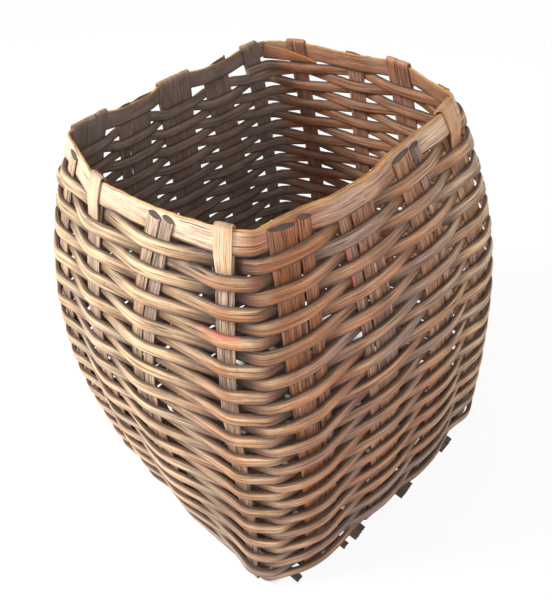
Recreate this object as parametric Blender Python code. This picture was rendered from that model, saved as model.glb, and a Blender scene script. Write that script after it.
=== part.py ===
"""Four-sided splint basket with an open mouth, woven from split strips.

The basket stands on z = 0 with its middle on the Z axis. Flat stakes cross in a woven
floor, turn up at its edge and run up the walls, which bow outward between the corners.
Seventeen uprights stand round the basket, an odd number, so that one long weaver
alternates by itself from turn to turn. The weaver is many lengths, each scarfed to the
next behind an upright. The last row is a wide rim band, with a second ply inside it
along one wall. Every other upright is folded over the band and tucked under a weaver,
and the others are cut off level.
"""
import bpy
import bmesh
from mathutils import Vector

# Overall form, in metres, measured at the middle of the stakes from corner to corner
HEIGHT = 0.410
MOUTH_X = 0.241
MOUTH_Y = 0.248
BELLY_X = 0.307
BELLY_Y = 0.320
BASE_X = 0.276
BASE_Y = 0.346
BELLY_LEVEL = 0.185
CORNER_MOUTH = 0.003
CORNER_BELLY = 0.018

# How far each corner stands off the square plan, along X and then along Y, at the base,
# the belly and the mouth
SOUTH_WEST = ((-0.0240, 0.0045, 0.0005), (-0.0118, 0.0115, -0.0070))
SOUTH_EAST = ((-0.0020, 0.0020, 0.0060), (0.0075, -0.0030, -0.0040))
NORTH_EAST = ((0.0025, 0.0040, -0.0070), (0.0010, 0.0075, 0.0105))
NORTH_WEST = ((0.0000, 0.0000, -0.0015), (0.0030, 0.0030, 0.0010))

# How far the middle of each wall bows out, at the base, the belly and the mouth
SOUTH_BOW = (-0.0030, 0.0240, 0.0275)
EAST_BOW = (0.0215, 0.0120, 0.0200)
NORTH_BOW = (0.0040, 0.0230, 0.0250)
WEST_BOW = (0.0100, 0.0130, 0.0065)

# Split strips
STAKE_THICKNESS = 0.0020
SINGLE_STAKE = 0.0200
EDGE_STAKE = 0.0160
PAIRED_SPLINT = 0.0135
WIDE_SPLINT = 0.0260
NARROW_SPLINT = 0.0125
BROAD_STAKE = 0.0310
WEAVER_WIDTH = 0.0106
WEAVER_THICKNESS = 0.0034
BAND_WIDTH = 0.0200
BAND_THICKNESS = 0.0020
PLY_WIDTH = 0.0130
PLY_THICKNESS = 0.0012
SCARF_TIP = 0.0005
CORNER_STAKE = 0.0200
CORNER_STAKE_FOOT = 0.0120
NARROW_SLAT = 0.0085
SLAT = 0.0185
WIDE_SLAT = 0.0230
FILLER = 0.0240
WIDE_FILLER = 0.0460

# Spaces between the strips
CLEARANCE = 0.0003
EDGE_MARGIN = 0.0010
CORNER_MARGIN = 0.30
SPLINT_GAP = 0.0010
PLY_GAP = 0.0012
ROW_GAP = 0.0017
FLOOR_BEND = 0.0060
BAND_DROP = 0.0005
BAND_TO_ROW = 0.0020
TAB_TUCK = 0.0075
TAB_TAPER = 0.6
SLAT_OVERHANG = 0.0070

# Patterns
WALL_STEPS = 12
HALF_STEPS = 3
STAKES_PER_WEAVER = 32

# Stakes that run under the floor and up two walls: the name, the widths of the splints,
# and the place of the group's middle at the foot, the belly and the rim, along the first
# wall and then along the second, as a share of half the wall. Each wall's places count in
# the weaver's direction of travel, so a stake has opposite signs on its two walls. A place
# too near the corner for the weave is drawn back. The uprights of a wall are cut off and
# folded in turn.
LONG_STAKES = (
    ("long_stake_1", (SINGLE_STAKE,), (-0.64, -0.73, -0.76), (0.64, 0.70, 0.71)),
    ("long_stake_2", (SINGLE_STAKE,), (-0.37, -0.31, -0.25), (0.37, 0.26, 0.15)),
    ("long_stake_3", (PAIRED_SPLINT, PAIRED_SPLINT), (0.10, 0.13, 0.43), (-0.10, -0.20, -0.30)),
    ("long_stake_4", (EDGE_STAKE,), (0.81, 0.78, 0.89), (-0.81, -0.78, -0.83)),
)
CROSS_STAKES = (
    ("cross_stake_1", (WIDE_SPLINT, NARROW_SPLINT), (-0.672, -0.71, -0.735), (0.672, 0.72, 0.74)),
    ("cross_stake_2", (NARROW_SPLINT, WIDE_SPLINT), (-0.18, -0.18, -0.265), (0.18, 0.25, 0.32)),
    ("cross_stake_3", (WIDE_SPLINT, NARROW_SPLINT), (0.265, 0.36, 0.275), (-0.265, -0.17, -0.075)),
    ("cross_stake_4", (BROAD_STAKE,), (0.71, 0.78, 0.83), (-0.71, -0.60, -0.47)),
)
CORNER_STAKE_PLACE = (-0.925, -0.93, -0.86)

# Floor strips that carry no upright: name, place as a share of half the floor, width
BASE_SLATS = (
    ("base_slat_1", -0.845, NARROW_SLAT),
    ("base_slat_2", -0.500, NARROW_SLAT),
    ("base_slat_3", -0.385, SLAT),
    ("base_slat_4", 0.045, WIDE_SLAT),
    ("base_slat_5", 0.503, WIDE_SLAT),
)
FLOOR_FILLERS = (
    ("floor_filler_1", -0.145, FILLER),
    ("floor_filler_2", 0.478, WIDE_FILLER),
)

WEAVE_OFFSET = STAKE_THICKNESS / 2 + CLEARANCE + WEAVER_THICKNESS / 2
BAND_OFFSET = STAKE_THICKNESS / 2 + CLEARANCE + BAND_THICKNESS / 2
TAB_STEP = (BAND_THICKNESS + STAKE_THICKNESS) / 2 + CLEARANCE
TUCK_STEP = STAKE_THICKNESS + CLEARANCE
FLOOR_STEP = (STAKE_THICKNESS + CLEARANCE) / 2
FLOOR_MID = FLOOR_STEP + STAKE_THICKNESS / 2
FOOT_LEVEL = FLOOR_MID + FLOOR_BEND
ARC_PULL = 1 - 0.5 ** 0.5
KNOTS = [HEIGHT * i / WALL_STEPS for i in range(WALL_STEPS + 1)]
UP = Vector((0, 0, 1))


def clear_scene():
    """Remove everything that is in the file."""
    for item in list(bpy.data.objects):
        bpy.data.objects.remove(item, do_unlink=True)


def material(name, colour, roughness):
    """Return a plain wood material."""
    made = bpy.data.materials.new(name)
    made.use_nodes = True
    shader = made.node_tree.nodes["Principled BSDF"]
    shader.inputs["Base Color"].default_value = (*colour, 1)
    shader.inputs["Roughness"].default_value = roughness
    shader.inputs["Metallic"].default_value = 0.0
    return made


def profile(z, base, belly, mouth):
    """A size at one level: two parabolas that meet at the belly."""
    if z < BELLY_LEVEL:
        t = (BELLY_LEVEL - z) / BELLY_LEVEL
        return belly - (belly - base) * t * t
    t = (z - BELLY_LEVEL) / (HEIGHT - BELLY_LEVEL)
    return belly - (belly - mouth) * t * t


def along(values, z):
    """Read a value between the knots of the wall, in straight steps."""
    step = HEIGHT / WALL_STEPS
    i = min(max(int(z / step), 0), WALL_STEPS - 1)
    t = z / step - i
    return values[i] + (values[i + 1] - values[i]) * t


def span_about(z):
    """Levels half a weaver below and above, kept on the wall."""
    return max(z - WEAVER_WIDTH / 2, 0.0), min(z + WEAVER_WIDTH / 2, HEIGHT)


HALF_X = [profile(z, BASE_X, BELLY_X, MOUTH_X) / 2 for z in KNOTS]
HALF_Y = [profile(z, BASE_Y, BELLY_Y, MOUTH_Y) / 2 for z in KNOTS]


def corner(uneven):
    """Distances of one corner from the middle, along X and along Y, at each knot."""
    return [
        [half + profile(z, *offsets) for half, z in zip(halves, KNOTS)]
        for halves, offsets in zip((HALF_X, HALF_Y), uneven)
    ]


class Wall:
    """One wall: its outward direction, the weaver's direction of travel and its sizes."""

    def __init__(self, out, way, first, second, bow):
        self.out = Vector(out)
        self.way = Vector(way)
        axis = 0 if self.way.x else 1
        self.halves = (HALF_X, HALF_Y)[axis]
        self.back = first[axis]
        self.front = second[axis]
        self.near = first[1 - axis]
        self.far = second[1 - axis]
        self.bows = [profile(z, *bow) for z in KNOTS]

    def length(self, z):
        """Length of the wall from corner to corner."""
        return along(self.back, z) + along(self.front, z)

    def share(self, z, place):
        """How far along the wall a place is, from 0 at its first corner to 1."""
        return (place + along(self.back, z)) / self.length(z)

    def reach(self, z, place):
        """Distance from the middle of the basket to the wall at a place along it."""
        share = self.share(z, place)
        flat = along(self.near, z) * (1 - share) + along(self.far, z) * share
        return flat + along(self.bows, z) * 4 * share * (1 - share)

    def turn(self, z, place):
        """Outward run of the wall for each metre along it."""
        bend = along(self.bows, z) * 4 * (1 - 2 * self.share(z, place))
        return (along(self.far, z) - along(self.near, z) + bend) / self.length(z)


SOUTH = Wall((0, -1, 0), (1, 0, 0), corner(SOUTH_WEST), corner(SOUTH_EAST), SOUTH_BOW)
EAST = Wall((1, 0, 0), (0, 1, 0), corner(SOUTH_EAST), corner(NORTH_EAST), EAST_BOW)
NORTH = Wall((0, 1, 0), (-1, 0, 0), corner(NORTH_EAST), corner(NORTH_WEST), NORTH_BOW)
WEST = Wall((-1, 0, 0), (0, -1, 0), corner(NORTH_WEST), corner(SOUTH_WEST), WEST_BOW)


def corner_pull(z):
    """How far a rounded corner is drawn in from the square one, along each axis."""
    t = min(1.0, max(0.0, (HEIGHT - z) / (HEIGHT - BELLY_LEVEL)))
    return ARC_PULL * (CORNER_MOUTH + (CORNER_BELLY - CORNER_MOUTH) * t)


def corner_point(first, second, z, offset):
    """The weave's turning point between two walls."""
    move = offset - corner_pull(z)
    point = first.out * (along(first.far, z) + move)
    return point + second.out * (along(second.near, z) + move) + UP * z


# The stakes twist most above the floor, where the walls begin to bow, and under the rim,
# so they bend there in half steps
STAKE_LEVELS = KNOTS[1:-1] + [(KNOTS[i] + KNOTS[i + 1]) / 2 for i in range(HALF_STEPS)]
STAKE_LEVELS.append((KNOTS[-2] + KNOTS[-1]) / 2)
STAKE_LEVELS.sort()

# Length along the wall against height, the same for all walls, so that rows are level
ARC = [0.0]
for step in range(WALL_STEPS):
    rise = KNOTS[step + 1] - KNOTS[step]
    run = (HALF_X[step + 1] - HALF_X[step] + HALF_Y[step + 1] - HALF_Y[step]) / 2
    ARC.append(ARC[-1] + (rise * rise + run * run) ** 0.5)


def height_at(arc):
    """Height of the point that lies this far up the wall."""
    i = 0
    while i < WALL_STEPS - 1 and ARC[i + 1] < arc:
        i += 1
    t = (arc - ARC[i]) / (ARC[i + 1] - ARC[i])
    return KNOTS[i] + (KNOTS[i + 1] - KNOTS[i]) * t


BAND_FOOT = ARC[-1] - BAND_DROP - BAND_WIDTH
BAND_LEVEL = height_at(BAND_FOOT + BAND_WIDTH / 2)
FIRST_ROW = FOOT_LEVEL + 2 * CLEARANCE + WEAVER_WIDTH / 2
LAST_ROW = BAND_FOOT - BAND_TO_ROW - WEAVER_WIDTH / 2
TURNS = round((LAST_ROW - FIRST_ROW) / (WEAVER_WIDTH + ROW_GAP)) + 1
PITCH = (LAST_ROW - FIRST_ROW) / (TURNS - 1)


class Upright:
    """One upright, single or of splints side by side, on one wall."""

    def __init__(self, wall, widths, places, folded, foot_widths=None):
        self.wall = wall
        self.widths = widths
        self.foot_widths = foot_widths or widths
        self.folded = folded
        self.tucked = folded
        self.plied = wall is EAST
        self.after_corner = False
        self.before_corner = False
        self.places = []
        for z, half in zip(KNOTS, wall.halves):
            place = profile(z, *places) * half
            place = max(place, -self.limit(z, wall.back))
            self.places.append(min(place, self.limit(z, wall.front)))
        self.outs = [wall.reach(z, place) for z, place in zip(KNOTS, self.places)]
        self.turns = [wall.turn(z, place) for z, place in zip(KNOTS, self.places)]

    def width(self, z):
        """Width of the whole group."""
        foot = sum(self.foot_widths)
        splints = foot + (sum(self.widths) - foot) * z / HEIGHT
        return splints + SPLINT_GAP * (len(self.widths) - 1)

    def limit(self, z, corners):
        """Farthest place towards a corner that leaves the weave room to turn."""
        room = along(corners, z) - corner_pull(z) - WEAVE_OFFSET - CLEARANCE
        return room - self.corner_space(z) - self.width(z) / 2

    def corner_space(self, z):
        """Room beside the group on the side of a corner."""
        return EDGE_MARGIN + CORNER_MARGIN * corner_pull(z)

    def place(self, z):
        """Where the group's middle stands along its wall."""
        return along(self.places, z)

    def tangent(self, z):
        """Level direction across the group, which follows the bow of the wall."""
        return (self.wall.way + self.wall.out * along(self.turns, z)).normalized()

    def lean(self, z):
        """Level run of the group for each metre of rise."""
        low, high = span_about(z)
        out = along(self.outs, high) - along(self.outs, low)
        side = along(self.places, high) - along(self.places, low)
        return (self.wall.out * out + self.wall.way * side) / (high - low)

    def point(self, side, z, offset):
        """A point beside the group's middle line, at a height, and off its surface."""
        tangent = self.tangent(z)
        normal = Vector((tangent.y, -tangent.x, 0))
        run = self.lean(z).dot(normal)
        scale = (1 + run * run) ** 0.5
        middle = self.wall.out * along(self.outs, z) + self.wall.way * self.place(z)
        return middle + tangent * side + normal * (offset / scale) + UP * (z - offset * run / scale)

    def slope(self, z):
        """Outward run of the group's face for each metre of rise."""
        tangent = self.tangent(z)
        return self.lean(z).dot(Vector((tangent.y, -tangent.x, 0)))

    def reaches(self, z):
        """How far a row lies flat behind and ahead of the group's middle."""
        near = self.width(z) / 2 + EDGE_MARGIN
        wide = self.width(z) / 2 + self.corner_space(z)
        return (wide if self.after_corner else near), (wide if self.before_corner else near)

    def splint(self, index, z):
        """One splint's distance from the group's middle, and its width, at a height."""
        sizes = []
        for top, foot in zip(self.widths, self.foot_widths):
            sizes.append(foot + (top - foot) * z / HEIGHT)
        start = sum(sizes[:index]) + SPLINT_GAP * index + sizes[index] / 2
        return start - self.width(z) / 2, sizes[index]

    def splint_stop(self, index, z, offset):
        """A point on one splint, the direction across it and its width."""
        side, width = self.splint(index, z)
        return self.point(side, z, offset), self.tangent(z), width


def solid(name, stations, finish):
    """Make one closed body from rings of four corners each."""
    mesh = bpy.data.meshes.new(name)
    form = bmesh.new()
    rings = [[form.verts.new(corner) for corner in ring] for ring in stations]
    for ring, after in zip(rings, rings[1:]):
        for j in range(4):
            k = (j + 1) % 4
            form.faces.new((ring[j], ring[k], after[k], after[j]))
    form.faces.new(rings[0])
    form.faces.new(rings[-1])
    bmesh.ops.recalc_face_normals(form, faces=form.faces)
    form.to_mesh(mesh)
    form.free()
    made = bpy.data.objects.new(name, mesh)
    made.data.materials.append(finish)
    bpy.context.scene.collection.objects.link(made)
    return made


def strip(name, stops, thickness, finish):
    """A flat strip through stops, each a point, a direction across and a width."""
    normals = []
    for (first, way, _), (second, next_way, _) in zip(stops, stops[1:]):
        across = (way + next_way).normalized()
        run = second - first
        run = (run - across * run.dot(across)).normalized()
        normals.append(run.cross(across))
    stations = []
    for i, (point, across, width) in enumerate(stops):
        before = normals[max(i - 1, 0)]
        after = normals[min(i, len(normals) - 1)]
        mitre = (before + after) / (1 + before.dot(after))
        side = across * width / 2
        face = mitre * thickness / 2
        stations.append((
            point - side - face,
            point + side - face,
            point + side + face,
            point - side + face,
        ))
    return solid(name, stations, finish)


def row_line(stops, width, name, finish):
    """A strip on edge that runs round the walls, mitred in plan and tilted with them.

    Each stop has a point, the way that the strip leans there for each metre of rise, the
    slope of the wall, and the strip's reach inward and outward of the line.
    """
    stations = []
    for i, (point, lean, run, inner, outer) in enumerate(stops):
        start = max(i, 1)
        end = min(i, len(stops) - 2)
        normals = []
        for way in (stops[start][0] - stops[start - 1][0], stops[end + 1][0] - stops[end][0]):
            normals.append(Vector((way.y, -way.x, 0)).normalized())
        mitre = (normals[0] + normals[1]) / (1 + normals[0].dot(normals[1]))
        scale = (1 + run * run) ** 0.5
        up = (lean + UP) * width / 2 / scale
        out = (mitre - UP * run) / scale
        stations.append((
            point - up + out * inner,
            point - up + out * outer,
            point + up + out * outer,
            point + up + out * inner,
        ))
    return solid(name, stations, finish)


def build_uprights():
    """List the uprights in the order in which the weaver meets them."""
    ring = []
    for i, (_, widths, first, _) in enumerate(LONG_STAKES):
        ring.append(Upright(SOUTH, widths, first, i % 2 == 1))
    for i, (_, widths, first, _) in enumerate(CROSS_STAKES):
        ring.append(Upright(EAST, widths, first, i % 2 == 1))
    for i, (_, widths, _, second) in reversed(list(enumerate(LONG_STAKES))):
        ring.append(Upright(NORTH, widths[::-1], second, i % 2 == 0))
    ring.append(Upright(
        WEST, (CORNER_STAKE,), CORNER_STAKE_PLACE, True, (CORNER_STAKE_FOOT,)))
    for i, (_, widths, _, second) in reversed(list(enumerate(CROSS_STAKES))):
        ring.append(Upright(WEST, widths[::-1], second, i % 2 == 0))
    for i, upright in enumerate(ring):
        upright.after_corner = ring[i - 1].wall is not upright.wall
        upright.before_corner = ring[(i + 1) % len(ring)].wall is not upright.wall
    # The second upright of the east wall lies inside the band, but is cut off level
    ring[5].tucked = False
    return ring


def band_offset(upright):
    """Offset of the rim band at an upright, which it passes outside or inside."""
    if not upright.folded:
        return -BAND_OFFSET
    return BAND_OFFSET + (PLY_THICKNESS + PLY_GAP if upright.plied else 0.0)


def pass_level(turn, upright):
    """Distance up the wall of the weaver's middle where it passes an upright.

    The rows are level on three walls and climb by one row along the west wall.
    """
    base = FIRST_ROW + (turn - 1) * PITCH
    if upright.wall is not WEST:
        return base
    z = height_at(base + PITCH / 2)
    return base + PITCH * WEST.share(z, upright.place(z))


def tuck_turn(wall):
    """The turn of the weaver that holds the folded ends of a wall."""
    return TURNS - 2 if wall is WEST else TURNS - 1


def wall_run(upright, index):
    """Stops of one splint from the foot of its wall to its end at the rim."""
    line = []
    for z in [FOOT_LEVEL] + [z for z in STAKE_LEVELS if z > FOOT_LEVEL]:
        line.append(upright.splint_stop(index, z, 0.0))
    scale = (1 + upright.slope(BAND_LEVEL) ** 2) ** 0.5
    rim_z = BAND_LEVEL + BAND_WIDTH / 2 / scale
    rim, across, width = upright.splint_stop(index, rim_z, 0.0)
    up = (rim - line[-1][0]).normalized()
    out = upright.splint_stop(index, rim_z, 1.0)[0] - rim
    if not upright.tucked:
        line.append((rim, across, width))
        return line
    reach = band_offset(upright) + TAB_STEP
    lift = STAKE_THICKNESS / 2 + 2 * CLEARANCE
    inset = STAKE_THICKNESS / 2
    line.append((rim + up * 2 * CLEARANCE, across, width))
    line.append((rim + out * inset + up * lift, across, width))
    line.append((rim + out * (reach - inset) + up * lift, across, width))
    line.append((rim + out * reach + up * 2 * CLEARANCE, across, width))
    row = height_at(pass_level(tuck_turn(upright.wall), upright))
    edge = row + (WEAVER_WIDTH / 2 + 2 * CLEARANCE) / scale
    foot = height_at(BAND_FOOT - CLEARANCE)
    line.append(upright.splint_stop(index, foot, reach))
    if edge < KNOTS[-2]:
        offset = reach + (TUCK_STEP - reach) * (foot - KNOTS[-2]) / (foot - edge)
        line.append(upright.splint_stop(index, KNOTS[-2], offset))
    line.append(upright.splint_stop(index, edge, TUCK_STEP))
    if edge > KNOTS[-2] > edge - TAB_TUCK:
        line.append(upright.splint_stop(index, KNOTS[-2], TUCK_STEP))
    point, across, width = upright.splint_stop(index, edge - TAB_TUCK, TUCK_STEP)
    line.append((point, across, width * TAB_TAPER))
    return line


def long_members(ring):
    """Members that run along Y, from west to east: place and width."""
    members = [(upright.place(0.0), upright.width(0.0)) for upright in ring[:4]]
    members.extend((place * HALF_X[0], width) for _, place, width in FLOOR_FILLERS)
    return sorted(members)


def cross_members(ring):
    """Members that run along X, from south to north: place and width."""
    members = [(upright.place(0.0), upright.width(0.0)) for upright in ring[4:8]]
    members.extend((place * HALF_Y[0], width) for _, place, width in BASE_SLATS)
    return sorted(members)


def order_of(members, place):
    """The position in a list of members of the one at a place."""
    return min(range(len(members)), key=lambda i: abs(members[i][0] - place))


def floor_levels(members, own, sign):
    """Stations of a floor strip over or under the members that it crosses."""
    stations = []
    for order, (place, width) in enumerate(members):
        level = FLOOR_MID + sign * FLOOR_STEP * (1 if (order + own) % 2 else -1)
        reach = width / 2 + EDGE_MARGIN
        stations.append((place - reach, level))
        stations.append((place + reach, level))
    return stations


def floor_turn(upright, index, level):
    """Stops of the turn from the floor into a wall, seen from the floor."""
    side, width = upright.splint(index, 0.0)
    edge = upright.outs[0]
    radius = FOOT_LEVEL - level
    way = upright.wall.way
    tangent = upright.tangent(0.0)
    flat = upright.wall.out * (edge - radius) + way * (upright.place(0.0) + side)
    half_way = (way + tangent).normalized()
    middle = upright.wall.out * (edge - radius * ARC_PULL) + way * upright.place(0.0)
    middle += half_way * side
    return (
        (flat + UP * level, way, width),
        (middle + UP * (level + radius * ARC_PULL), half_way, width),
    )


def flipped(stops):
    """The same stops with the direction across turned round."""
    return [(point, -across, width) for point, across, width in stops]


def u_stake(name, index, first, second, members, own, sign, finish):
    """One splint: down its first wall, across the floor and up the second."""
    mirrored = len(second.widths) - 1 - index
    levels = floor_levels(members, own, sign)
    axis = first.wall.out
    direction = 1 if axis.x + axis.y > 0 else -1
    if direction > 0:
        levels.reverse()
    flat, middle = floor_turn(first, index, levels[0][1])
    line = list(reversed(wall_run(first, index)))
    line.extend((middle, flat))
    end_flat, end_middle = floor_turn(second, mirrored, levels[-1][1])
    axis_along = Vector((abs(axis.x), abs(axis.y), 0))
    way = first.wall.way
    width = flat[2]
    length = (end_flat[0] - flat[0]).dot(axis_along)
    drift = (end_flat[0] - flat[0]).dot(way)
    for place, level in levels:
        t = (place - flat[0].dot(axis_along)) / length
        side = flat[0].dot(way) + drift * t
        line.append((axis_along * place + way * side + UP * level, way, width))
    line.extend(flipped([end_flat, end_middle]))
    line.extend(flipped(wall_run(second, mirrored)))
    return strip(name, line, STAKE_THICKNESS, finish)


def make_stakes(ring, finish):
    """All stakes that run under the floor, and the extra one at the corner."""
    longs = long_members(ring)
    crosses = cross_members(ring)
    for i, (name, widths, _, _) in enumerate(LONG_STAKES):
        own = order_of(longs, ring[i].place(0.0))
        for j in range(len(widths)):
            full = name if len(widths) == 1 else name + "ab"[j]
            u_stake(full, j, ring[i], ring[11 - i], crosses, own, 1, finish)
    for i, (name, widths, _, _) in enumerate(CROSS_STAKES):
        own = order_of(crosses, ring[4 + i].place(0.0))
        for j in range(len(widths)):
            full = name if len(widths) == 1 else name + "ab"[j]
            u_stake(full, j, ring[4 + i], ring[16 - i], longs, own, -1, finish)
    strip("corner_stake", wall_run(ring[12], 0), STAKE_THICKNESS, finish)


def make_floor_strips(ring, slat_finish, filler_finish):
    """The slats whose ends stand out of the wall, and the short floor fillers."""
    longs = long_members(ring)
    crosses = cross_members(ring)
    for name, share, width in BASE_SLATS:
        place = share * HALF_Y[0]
        levels = floor_levels(longs, order_of(crosses, place), -1)
        east = EAST.reach(0.0, place) + SLAT_OVERHANG
        west = WEST.reach(0.0, -place) + SLAT_OVERHANG
        stations = [(-west, levels[0][1])] + levels + [(east, levels[-1][1])]
        across = Vector((0, 1, 0))
        line = [(Vector((x, place, level)), across, width) for x, level in stations]
        strip(name, line, STAKE_THICKNESS, slat_finish)
    for name, share, width in FLOOR_FILLERS:
        place = share * HALF_X[0]
        levels = floor_levels(crosses, order_of(longs, place), 1)
        south = SOUTH.reach(0.0, place) - STAKE_THICKNESS
        north = NORTH.reach(0.0, -place) - STAKE_THICKNESS
        stations = [(-south, levels[0][1])] + levels + [(north, levels[-1][1])]
        across = Vector((1, 0, 0))
        line = [(Vector((place, y, level)), across, width) for y, level in stations]
        strip(name, line, STAKE_THICKNESS, filler_finish)


def crossing(upright, z, offset, thickness):
    """The two stops between which a row runs flat past an upright."""
    behind, ahead = upright.reaches(z)
    lean = upright.lean(z)
    run = upright.slope(z)
    near = upright.point(-behind, z, offset)
    far = upright.point(ahead, z, offset)
    half = thickness / 2
    return (near, lean, run, -half, half), (far, lean, run, -half, half)


def corner_stop(upright, offset, after, after_offset, z, thickness):
    """The stop at which a row turns from one wall to the next."""
    first = upright.wall
    second = after.wall
    back = along(first.front, z) - upright.place(z) - upright.reaches(z)[1]
    front = along(second.back, z) + after.place(z) - after.reaches(z)[0]
    bend = offset + (after_offset - offset) * back / (back + front)
    low, high = span_about(z)
    rise = corner_point(first, second, high, 0.0) - corner_point(first, second, low, 0.0)
    lean = rise / (high - low) - UP
    run = (lean.dot(first.out) + lean.dot(second.out)) / 2
    point = corner_point(first, second, z, bend)
    point -= UP * (bend * run / (1 + run * run) ** 0.5)
    return point, lean, run, -thickness / 2, thickness / 2


def scarf_start(near, far, tip, thickness):
    """The first stop of a strip that lies against the end of the strip before it."""
    shift = (tip + CLEARANCE) / (thickness - tip)
    point = near[0] + (far[0] - near[0]) * shift / (1 + shift)
    return point, near[1], near[2], -thickness / 2, tip - thickness / 2


def scarf_end(near, far, tip, thickness):
    """The last stop of a strip that the next strip lies against."""
    shift = (tip + CLEARANCE) / (thickness - tip)
    point = near[0] + (far[0] - near[0]) / (1 + shift)
    return point, far[1], far[2], thickness / 2 - tip, thickness / 2


def weave_passes(ring):
    """Every place where the long weaver passes an upright, from the first to the last."""
    passes = []
    for turn in range(1, TURNS + 1):
        for k, upright in enumerate(ring):
            if turn == TURNS and upright.wall is WEST:
                # The last end lies inside the extra stake at the corner
                passes.append((upright, height_at(LAST_ROW), -WEAVE_OFFSET))
                break
            z = height_at(pass_level(turn, upright))
            outside = (turn + k) % 2 == TURNS % 2
            offset = WEAVE_OFFSET if outside else -WEAVE_OFFSET
            if outside and upright.tucked and turn == tuck_turn(upright.wall):
                offset += TUCK_STEP
            passes.append((upright, z, offset))
    return passes


def make_weavers(ring, finish):
    """The long weaver, as lengths that are scarfed together behind uprights."""
    passes = weave_passes(ring)
    first = 0 if passes[0][2] < 0 else 1
    last = len(passes) - 1
    bounds = list(range(first, last, STAKES_PER_WEAVER))
    if last - bounds[-1] < STAKES_PER_WEAVER / 4 and len(bounds) > 1:
        bounds.pop()
    bounds.append(last)
    for number, (start, stop) in enumerate(zip(bounds, bounds[1:])):
        stops = []
        for i in range(start, stop + 1):
            upright, z, offset = passes[i]
            near, far = crossing(upright, z, offset, WEAVER_THICKNESS)
            if i == start and i > first:
                near = scarf_start(near, far, SCARF_TIP, WEAVER_THICKNESS)
            if i == stop and i < last:
                far = scarf_end(near, far, SCARF_TIP, WEAVER_THICKNESS)
            stops.extend((near, far))
            if i == stop:
                break
            after, after_z, after_offset = passes[i + 1]
            if after.wall is not upright.wall:
                turn_z = after_z if upright.wall is WEST else z
                stops.append(corner_stop(
                    upright, offset, after, after_offset, turn_z, WEAVER_THICKNESS))
        row_line(stops, WEAVER_WIDTH, f"weaver_{number + 1:02d}", finish)


def band_stops(ring, first, last):
    """Stops of the rim band past a run of uprights."""
    stops = []
    for k in range(first, last + 1):
        upright = ring[k % len(ring)]
        offset = band_offset(upright)
        stops.extend(crossing(upright, BAND_LEVEL, offset, BAND_THICKNESS))
        after = ring[(k + 1) % len(ring)]
        if k < last and after.wall is not upright.wall:
            after_offset = band_offset(after)
            stops.append(corner_stop(
                upright, offset, after, after_offset, BAND_LEVEL, BAND_THICKNESS))
    return stops


def make_rim(ring, finish):
    """The rim band, scarfed at the second east upright, and the ply inside it."""
    joint = 5
    stops = band_stops(ring, joint, joint + len(ring))
    stops[0] = scarf_start(stops[0], stops[1], SCARF_TIP, BAND_THICKNESS)
    stops[-1] = scarf_end(stops[-2], stops[-1], SCARF_TIP, BAND_THICKNESS)
    row_line(stops, BAND_WIDTH, "rim_band", finish)
    outer = -BAND_THICKNESS / 2 - PLY_GAP
    rise = (BAND_WIDTH - PLY_WIDTH) / 2
    inside = []
    for point, lean, run, _, _ in band_stops(ring, 4, 7)[:-1]:
        up = (lean + UP) / (1 + run * run) ** 0.5
        inside.append((point + up * rise, lean, run, outer - PLY_THICKNESS, outer))
    row_line(inside, PLY_WIDTH, "rim_inner_ply", finish)


def main():
    clear_scene()
    weaver_wood = material("weaver_splint", (0.33, 0.14, 0.055), 0.55)
    stake_wood = material("stake_splint", (0.27, 0.13, 0.065), 0.62)
    rim_wood = material("rim_splint", (0.36, 0.19, 0.09), 0.55)
    slat_wood = material("weathered_slat", (0.055, 0.05, 0.052), 0.75)
    ring = build_uprights()
    make_stakes(ring, stake_wood)
    make_floor_strips(ring, slat_wood, stake_wood)
    make_weavers(ring, weaver_wood)
    make_rim(ring, rim_wood)


main()
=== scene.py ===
import math

import bpy
import numpy as np
from bpy.props import FloatProperty, FloatVectorProperty, PointerProperty
from mathutils import Matrix, Vector, noise


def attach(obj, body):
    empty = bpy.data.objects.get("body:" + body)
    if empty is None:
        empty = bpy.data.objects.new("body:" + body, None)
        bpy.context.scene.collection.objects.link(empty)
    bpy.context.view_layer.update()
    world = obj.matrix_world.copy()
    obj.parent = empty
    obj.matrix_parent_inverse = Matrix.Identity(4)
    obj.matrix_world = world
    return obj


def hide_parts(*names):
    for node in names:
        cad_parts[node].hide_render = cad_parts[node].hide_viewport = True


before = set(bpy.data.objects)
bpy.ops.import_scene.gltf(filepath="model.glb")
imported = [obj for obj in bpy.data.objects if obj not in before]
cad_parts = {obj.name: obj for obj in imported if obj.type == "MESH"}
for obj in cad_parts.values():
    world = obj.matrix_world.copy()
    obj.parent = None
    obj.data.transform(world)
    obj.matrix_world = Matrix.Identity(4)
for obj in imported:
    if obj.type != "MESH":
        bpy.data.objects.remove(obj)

bl_info = {
    "name": "Old Splint Basket",
    "version": (1, 0, 0),
    "blender": (4, 5, 0),
    "location": "View3D > Sidebar > Basket",
    "description": "Dresses a woven splint basket in aged, split wood",
    "category": "Object",
}

# The plan of the basket, in metres, the same as in the solids that it dresses
HEIGHT = 0.410
MOUTH_X = 0.241
MOUTH_Y = 0.248
BELLY_X = 0.307
BELLY_Y = 0.320
BASE_X = 0.276
BASE_Y = 0.346
BELLY_LEVEL = 0.185
CORNER_MOUTH = 0.003
CORNER_BELLY = 0.018

# How far each corner stands off the square plan, along X and then along Y, at the base,
# the belly and the mouth
SOUTH_WEST = ((-0.0240, 0.0045, 0.0005), (-0.0118, 0.0115, -0.0070))
SOUTH_EAST = ((-0.0020, 0.0020, 0.0060), (0.0075, -0.0030, -0.0040))
NORTH_EAST = ((0.0025, 0.0040, -0.0070), (0.0010, 0.0075, 0.0105))
NORTH_WEST = ((0.0000, 0.0000, -0.0015), (0.0030, 0.0030, 0.0010))

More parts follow.
